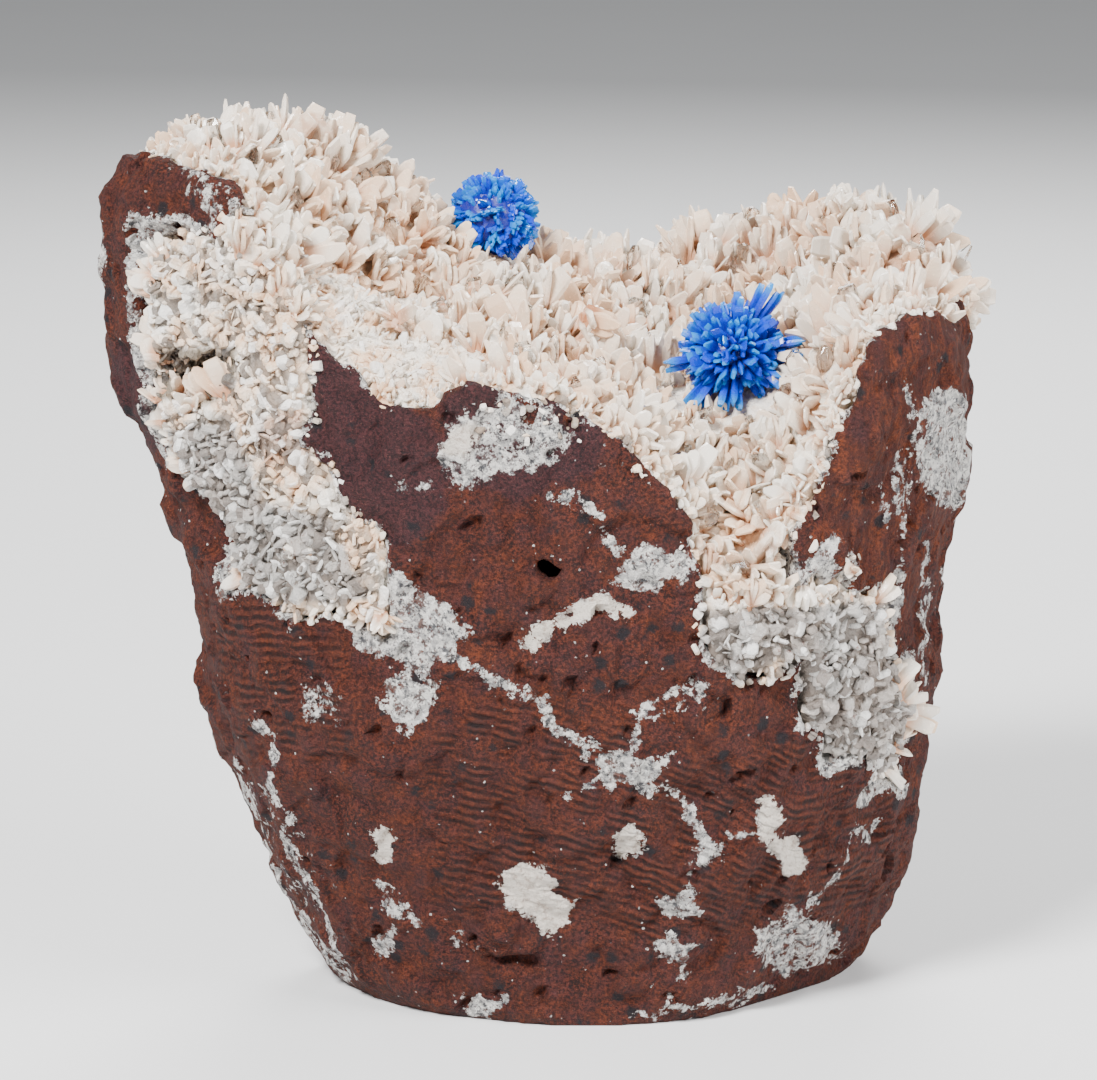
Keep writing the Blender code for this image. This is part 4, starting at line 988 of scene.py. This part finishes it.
class SPECIMEN_OT_stilbite_blades(bpy.types.Operator):
    """Cover the crust with sheaves of stilbite blades"""
    bl_idname = "specimen.stilbite_blades"
    bl_label = "Stilbite blades"

    def execute(self, context):
        settings = context.scene.specimen_crust
        chance = np.random.default_rng(SEED)
        crust = bpy.data.objects["zeolite_crust"]
        centres, outward, areas = open_faces(crust, clear_of_rock=0.4)
        bladed = massive(centres, outward) < 0.3
        seats = spaced(chance, centres[bladed], outward[bladed], areas[bladed],
                       settings.spacing / MM, 1500)
        rock = tree_of(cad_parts["basalt_matrix"])
        copies = []
        for point, normal in seats:
            if near_rosette(point, 0.3):
                continue
            size = float(np.clip(chance.lognormal(-0.12, 0.28), 0.5, 1.5))
            if near_rosette(point, 2.2):
                size *= 0.65
            if rock.find_nearest(Vector(point), 1.3)[0] is not None:
                size *= 0.6
            tone = 0.5 + 0.45 * noise.noise(Vector(point) / 6.0)
            tone += 0.25 * noise.noise(Vector(point) / 2.0)
            add_sheaf(chance, copies, point, normal, size, tone, settings, int(chance.integers(6, 11)))
        centres, outward, areas = open_faces(crust)
        rim = np.array([rock.find_nearest(Vector(centre), 1.7)[0] is not None for centre in centres])
        rim &= massive(centres, outward) < 0.3
        for point, normal in spaced(chance, centres[rim], outward[rim], areas[rim], RIM_SPACING, 700):
            tone = 0.6 + 0.4 * noise.noise(Vector(point) / 3.0)
            add_sheaf(chance, copies, point, normal, 0.5, tone, settings, 3)
        for tip, foot in crystal_tips(tree_of(crust)):
            rise = np.linalg.norm(tip - foot)
            if near_rosette(tip, 0.5):
                continue
            direction = unit(tip - foot)
            if massive(tip[None, :], direction[None, :])[0] > -0.5:
                for _ in range(9):
                    bent = unit(direction + chance.normal(0, 0.45, 3))
                    width = chance.uniform(0.45, 0.9)
                    grow(copies, chance.integers(0, 4), foot - bent * 0.4 + chance.normal(0, 0.4, 3),
                         bent, chance.uniform(0, math.pi), width, width * 0.5,
                         rise * chance.uniform(0.3, 0.6), chance.uniform(0.7, 1.0))
                continue
            for _ in range(4):
                bent = unit(direction + chance.normal(0, 0.16, 3))
                root = foot - direction * 0.6 + chance.normal(0, 0.35, 3)
                grow(copies, chance.integers(0, 4), root, bent, chance.uniform(0, math.pi),
                     chance.uniform(1.2, 2.0), chance.uniform(0.4, 0.7),
                     (rise + 0.6) * chance.uniform(0.55, 0.88), chance.uniform(0.45, 1.0))
        copies.extend(named_sheaves(tree_of(crust)))
        forms = stilbite_forms()
        material = blade_material(settings)
        middle = np.median([placement[0, 3] for _, placement, _ in copies])
        left = [one for one in copies if one[1][0, 3] < middle]
        right = [one for one in copies if one[1][0, 3] >= middle]
        for name, part in (("stilbite_blades_left", left), ("stilbite_blades_right", right)):
            finish_piece(join_copies(name, forms, part), material, slot="stilbite_crust")
        return {"FINISHED"}


def seat_at(tree, pixel):
    """Place and normal of the crust where a pixel of the photograph shows it."""
    x, y = pixel
    across = (x - PICTURE_WIDTH / 2) / FOCAL_PIXELS
    up = (PICTURE_HEIGHT / 2 - y) / FOCAL_PIXELS
    ray = unit(np.array((across, 0.0, 0.0)) + IMAGE_UP * up - TO_CAMERA)
    place, outward, _, _ = tree.ray_cast(Vector(CAMERA_PLACE), Vector(ray))
    if place is None:
        raise RuntimeError("no crust behind pixel %s" % (pixel,))
    return np.array(place), np.array(outward)


def named_sheaves(tree):
    """The single crystals and fans that catch the eye, as copies."""
    chance = np.random.default_rng(SEED + 4)
    copies = []
    for pixel, (right, near, up), width, length, number, spread in NAMED_CRYSTALS:
        place, outward = seat_at(tree, pixel)
        lean = unit(np.array((right, -near, up)))
        side = unit(np.cross(lean, (0.0, -1.0, 0.2)))
        for step in range(number):
            angle = (step / max(number - 1, 1) - 0.5) * spread
            direction = lean * math.cos(angle) + side * math.sin(angle)
            direction = unit(direction + chance.normal(0, 0.04, 3))
            grow(copies, step % 3, place - direction * 0.6, direction, chance.uniform(-0.3, 0.3), width,
                 width * chance.uniform(0.28, 0.4), length * chance.uniform(0.8, 1.0),
                 chance.uniform(0.6, 1.0))
    return copies


def border_places():
    """Places, normals and weights of the basalt's face along the border of the crust."""
    block = bpy.data.objects["basalt_block"]
    points = places(block)
    outward = normals(block)
    crust = tree_of(bpy.data.objects["zeolite_crust"])
    near = []
    for index, (point, normal) in enumerate(zip(points, outward)):
        if crust.find_nearest(Vector(point), BORDER_WIDTH)[0] is None:
            continue
        if crust.ray_cast(Vector(point), Vector(normal), 2.5)[0] is None:
            near.append(index)
    return points[near], outward[near], np.ones(len(near))


class SPECIMEN_OT_zeolite_grains(bpy.types.Operator):
    """Stud the massive zeolite and the ragged borders of the crust with blunt grains"""
    bl_idname = "specimen.zeolite_grains"
    bl_label = "Zeolite grains"

    def execute(self, context):
        settings = context.scene.specimen_crust
        chance = np.random.default_rng(SEED + 1)
        crust = bpy.data.objects["zeolite_crust"]
        centres, outward, areas = open_faces(crust)
        walls = massive(centres, outward) > 0.0
        seats = spaced(chance, centres[walls], outward[walls], areas[walls], GRAIN_SPACING, 3600)
        x, y = photo_pixels(np.array([point for point, _ in seats]))
        facet = outline_depth(x, y, MASSIVE_FACET)
        forms = [model_crystal("grain", 1.0, 1.0, 0.75, [(1.0, 0.6, 0.6, 0.05)]), *stilbite_forms()]
        copies = []
        for (point, normal), inside in zip(seats, facet):
            gap = noise.noise(Vector(point) / 1.7) > 0.4
            if gap and chance.random() < 0.7:
                continue
            direction = unit(normal + chance.normal(0, 0.65, 3))
            width = 0.35 + 1.2 * chance.random() ** 2.4
            tone = chance.random()
            if inside > 0:
                width *= 0.75
                tone = 0.4 + 0.6 * tone
            grow(copies, chance.integers(0, 5), point - direction * 0.5, direction,
                 chance.uniform(0, math.pi), width, width * chance.uniform(0.2, 0.8),
                 chance.uniform(0.6, 1.5), tone)
        for point, normal in spaced(chance, *border_places(), BORDER_SPACING, 2800):
            direction = unit(normal + chance.normal(0, 0.9, 3))
            width = 0.25 + 0.6 * chance.random() ** 2
            grow(copies, chance.integers(0, 5), point - direction * 0.35, direction,
                 chance.uniform(0, math.pi), width, width * chance.uniform(0.4, 0.95),
                 0.3 + width * chance.uniform(0.5, 0.9), chance.random())
        item = join_copies("zeolite_grains", forms, copies)
        x, y = photo_pixels(places(item))
        # Grey, pink stains and the painted shade of the hollow.
        tint_shares(item, x, y)
        finish_piece(item, white_material(settings, "zeolite_grain", 0.85, by_grain=True),
                     slot="stilbite_crust")
        return {"FINISHED"}


class SPECIMEN_OT_clear_crystals(bpy.types.Operator):
    """Stand clear crystals among the blades"""
    bl_idname = "specimen.clear_crystals"
    bl_label = "Clear crystals"

    def execute(self, context):
        chance = np.random.default_rng(SEED + 2)
        crust = bpy.data.objects["zeolite_crust"]
        centres, outward, areas = open_faces(crust, clear_of_rock=2.2)
        fit = (massive(centres, outward) < 0) & (outward[:, 2] > 0.2)
        seats = spaced(chance, centres[fit], outward[fit], areas[fit], CLEAR_SPACING, 150)
        copies = []
        for point, normal in seats:
            if near_rosette(point, 0.2):
                continue
            direction = unit(normal + chance.normal(0, 0.35, 3) + np.array((0, 0, 0.2)))
            width = chance.uniform(1.0, 1.9)
            grow(copies, chance.integers(0, 3), point - direction * 0.5, direction,
                 chance.uniform(0, math.pi), width, width * chance.uniform(0.35, 0.6),
                 chance.uniform(2.2, 3.2), 1.0)
        item = join_copies("clear_crystals", stilbite_forms(), copies)
        finish_piece(item, clear_material(), slot="stilbite_crust")
        return {"FINISHED"}


def spiral(count):
    """Directions spread evenly over a ball."""
    step = np.arange(count)
    z = 1 - 2 * (step + 0.5) / count
    ring = np.sqrt(1 - z * z)
    turn = GOLDEN_TURN * step
    return np.stack([ring * np.cos(turn), ring * np.sin(turn), z], axis=1)


def add_core(name, centre, radius):
    """The closed middle of a ball, a lumpy sphere."""
    deselect()
    bpy.ops.mesh.primitive_ico_sphere_add(subdivisions=4, radius=radius * MM,
                                          location=tuple(centre * MM))
    item = bpy.context.object
    item.name = name
    bpy.ops.object.transform_apply(location=True, rotation=True, scale=True)
    points = places(item)
    points += normals(item) * (0.25 * noise_at(points, 0.7))[:, None]
    set_places(item, points)
    add_values(item, "tip", np.full(len(points), 0.2))
    add_values(item, "tone", np.full(len(points), 0.3))
    return item


def join_objects(name, *items):
    deselect()
    for item in items:
        item.select_set(True)
    bpy.context.view_layer.objects.active = items[0]
    bpy.ops.object.join()
    items[0].name = name
    items[0].data.name = name
    return items[0]


class SPECIMEN_OT_rosettes(bpy.types.Operator):
    """Model the two blue cavansite rosettes"""
    bl_idname = "specimen.rosettes"
    bl_label = "Rosettes"

    def execute(self, context):
        settings = context.scene.specimen_rosette
        chance = np.random.default_rng(SEED + 3)
        forms = [model_crystal("lath", 1.0, 1.0, 0.93, [(1.0, 0.72, 0.6, 0.0)]),
                 model_crystal("chisel_lath", 1.0, 1.0, 0.86, [(1.0, 0.85, 0.15, 0.0)]),
                 model_crystal("wedge_lath", 1.0, 1.0, 0.8, [(1.0, 0.3, 0.5, 0.1)])]
        copies = []
        for direction in spiral(settings.blades):
            if direction[2] < -0.75:
                continue
            bent = unit(direction + chance.normal(0, 0.12, 3))
            reach = FRONT_REACH * chance.uniform(0.78, 1.02)
            grow(copies, chance.integers(0, 3), FRONT_CENTRE + bent * BALL_ROOT, bent,
                 chance.uniform(0, math.pi), chance.uniform(0.5, 0.95), chance.uniform(0.24, 0.4),
                 reach - BALL_ROOT, chance.random())
        for direction, reach in FRONT_PRISMS:
            for _ in range(4):
                bent = unit(unit(np.array(direction)) + chance.normal(0, 0.11, 3))
                grow(copies, chance.integers(0, 2), FRONT_CENTRE + bent * BALL_ROOT, bent,
                     chance.uniform(0, math.pi), chance.uniform(0.5, 0.7), chance.uniform(0.4, 0.55),
                     (reach - BALL_ROOT) * chance.uniform(0.86, 1.0), chance.uniform(0.5, 1))
        front = join_copies("front_blades", forms, copies)
        core = add_core("front_core", FRONT_CENTRE, FRONT_CORE * 0.85)
        front = join_objects("rosette_front", front, core)
        finish_piece(front, blue_material(settings, "cavansite_front", 0.72), "cavansite_rosette_front",
                     slot="cavansite_rosette_front")
        copies = []
        for direction in spiral(settings.bundles):
            if direction[2] < -0.8:
                continue
            lean = unit(direction + chance.normal(0, 0.08, 3))
            side = unit(np.cross(lean, chance.normal(0, 1, 3)))
            other = np.cross(lean, side)
            reach = UPPER_REACH * chance.uniform(0.9, 1.0)
            tone = chance.uniform(0.2, 0.9)
            for step in np.linspace(-1, 1, 5):
                bent = unit(lean + side * step * 0.15 + other * chance.normal(0, 0.04))
                basis = Matrix((tuple(other), tuple(side), tuple(lean))).transposed().to_4x4()
                placement = np.array(basis) @ np.diag((0.3, 0.55, 1.0, 1.0))
                length = reach * (1 - 0.07 * step * step) * chance.uniform(0.94, 1.0) - BALL_ROOT
                placement[:3, 2] = bent * length
                placement[:3, 3] = UPPER_CENTRE + bent * BALL_ROOT
                copies.append((int(chance.integers(0, 3)), placement,
                               float(np.clip(tone + chance.normal(0, 0.1), 0, 1))))
        upper = join_copies("upper_blades", forms, copies)
        upper = join_objects("rosette_upper", upper, add_core("upper_core", UPPER_CENTRE, UPPER_CORE))
        finish_piece(upper, blue_material(settings, "cavansite_upper", 0.45), "cavansite_rosette_upper",
                     slot="cavansite_rosette_upper")
        return {"FINISHED"}


def add_light(name, place, power, size):
    """A soft square light that points at the specimen."""
    light = bpy.data.lights.new(name, "AREA")
    light.energy = power
    light.size = size * MM
    item = bpy.data.objects.new(name, light)
    bpy.context.scene.collection.objects.link(item)
    item.location = Vector(place) * MM
    aim = Vector(AIM + SHIFT) * MM - item.location
    item.rotation_euler = aim.to_track_quat("-Z", "Y").to_euler()


class SPECIMEN_OT_stage(bpy.types.Operator):
    """Add the floor, the lights and the camera"""
    bl_idname = "specimen.stage"
    bl_label = "Stage"

    def execute(self, context):
        settings = context.scene.specimen_stage
        deselect()
        bpy.ops.mesh.primitive_plane_add(size=4.0, location=(0, 0, 0))
        floor = bpy.context.object
        floor.name = "stage_floor"
        material, nodes, shader = new_material("stage_floor", Roughness=0.7, Metallic=0.0)
        pale = nodes.mix(nodes.noise(40.0), settings.floor, [value * 1.04 for value in settings.floor])
        nodes.feed(shader, Base_Color=pale)
        floor.data.materials.append(material)
        world = bpy.data.worlds.new("stage_world")
        world.use_nodes = True
        background = world.node_tree.nodes["Background"]
        background.inputs["Color"].default_value = (0.80, 0.82, 0.85, 1.0)
        background.inputs["Strength"].default_value = 0.26
        context.scene.world = world
        add_light("key", (-150, -260, 330), settings.key, 110)
        add_light("side", (320, -160, 190), settings.key * 0.45, 200)
        add_light("back", (40, 300, 260), settings.key * 0.35, 220)
        camera = bpy.data.objects.new("camera", bpy.data.cameras.new("camera"))
        context.scene.collection.objects.link(camera)
        camera.location = Vector(CAMERA_PLACE) * MM
        camera.rotation_euler = (math.pi / 2 - CAMERA_ELEVATION, 0, 0)
        camera.data.sensor_width = SENSOR
        camera.data.lens = FOCAL_PIXELS * SENSOR / PICTURE_WIDTH
        camera.data.clip_start = 0.01
        camera.data.clip_end = 10.0
        context.scene.camera = camera
        return {"FINISHED"}


class SPECIMEN_PT_panel(bpy.types.Panel):
    bl_label = "Cavansite specimen"
    bl_idname = "SPECIMEN_PT_panel"
    bl_space_type = "VIEW_3D"
    bl_region_type = "UI"
    bl_category = "Specimen"

    def draw(self, context):
        for settings in SETTINGS:
            group = getattr(context.scene, settings)
            for name in group.__annotations__:
                self.layout.prop(group, name)
        for operator in OPERATORS:
            self.layout.operator(operator.bl_idname)


SETTINGS = {"specimen_rock": RockSettings, "specimen_crust": CrustSettings,
            "specimen_rosette": RosetteSettings, "specimen_stage": StageSettings}
OPERATORS = (SPECIMEN_OT_basalt_block, SPECIMEN_OT_zeolite_crust, SPECIMEN_OT_zeolite_grains,
             SPECIMEN_OT_stilbite_blades, SPECIMEN_OT_clear_crystals, SPECIMEN_OT_rosettes,
             SPECIMEN_OT_stage)


def register():
    for group in SETTINGS.values():
        bpy.utils.register_class(group)
    for operator in OPERATORS:
        bpy.utils.register_class(operator)
    bpy.utils.register_class(SPECIMEN_PT_panel)
    for name, group in SETTINGS.items():
        setattr(bpy.types.Scene, name, bpy.props.PointerProperty(type=group))


def unregister():
    for name in SETTINGS:
        delattr(bpy.types.Scene, name)
    bpy.utils.unregister_class(SPECIMEN_PT_panel)
    for operator in reversed(OPERATORS):
        bpy.utils.unregister_class(operator)
    for group in SETTINGS.values():
        bpy.utils.unregister_class(group)


def main():
    register()
    bpy.ops.specimen.basalt_block()
    bpy.ops.specimen.zeolite_crust()
    bpy.ops.specimen.zeolite_grains()
    bpy.ops.specimen.stilbite_blades()
    bpy.ops.specimen.clear_crystals()
    bpy.ops.specimen.rosettes()
    bpy.ops.specimen.stage()


if __name__ == "__main__":
    main()
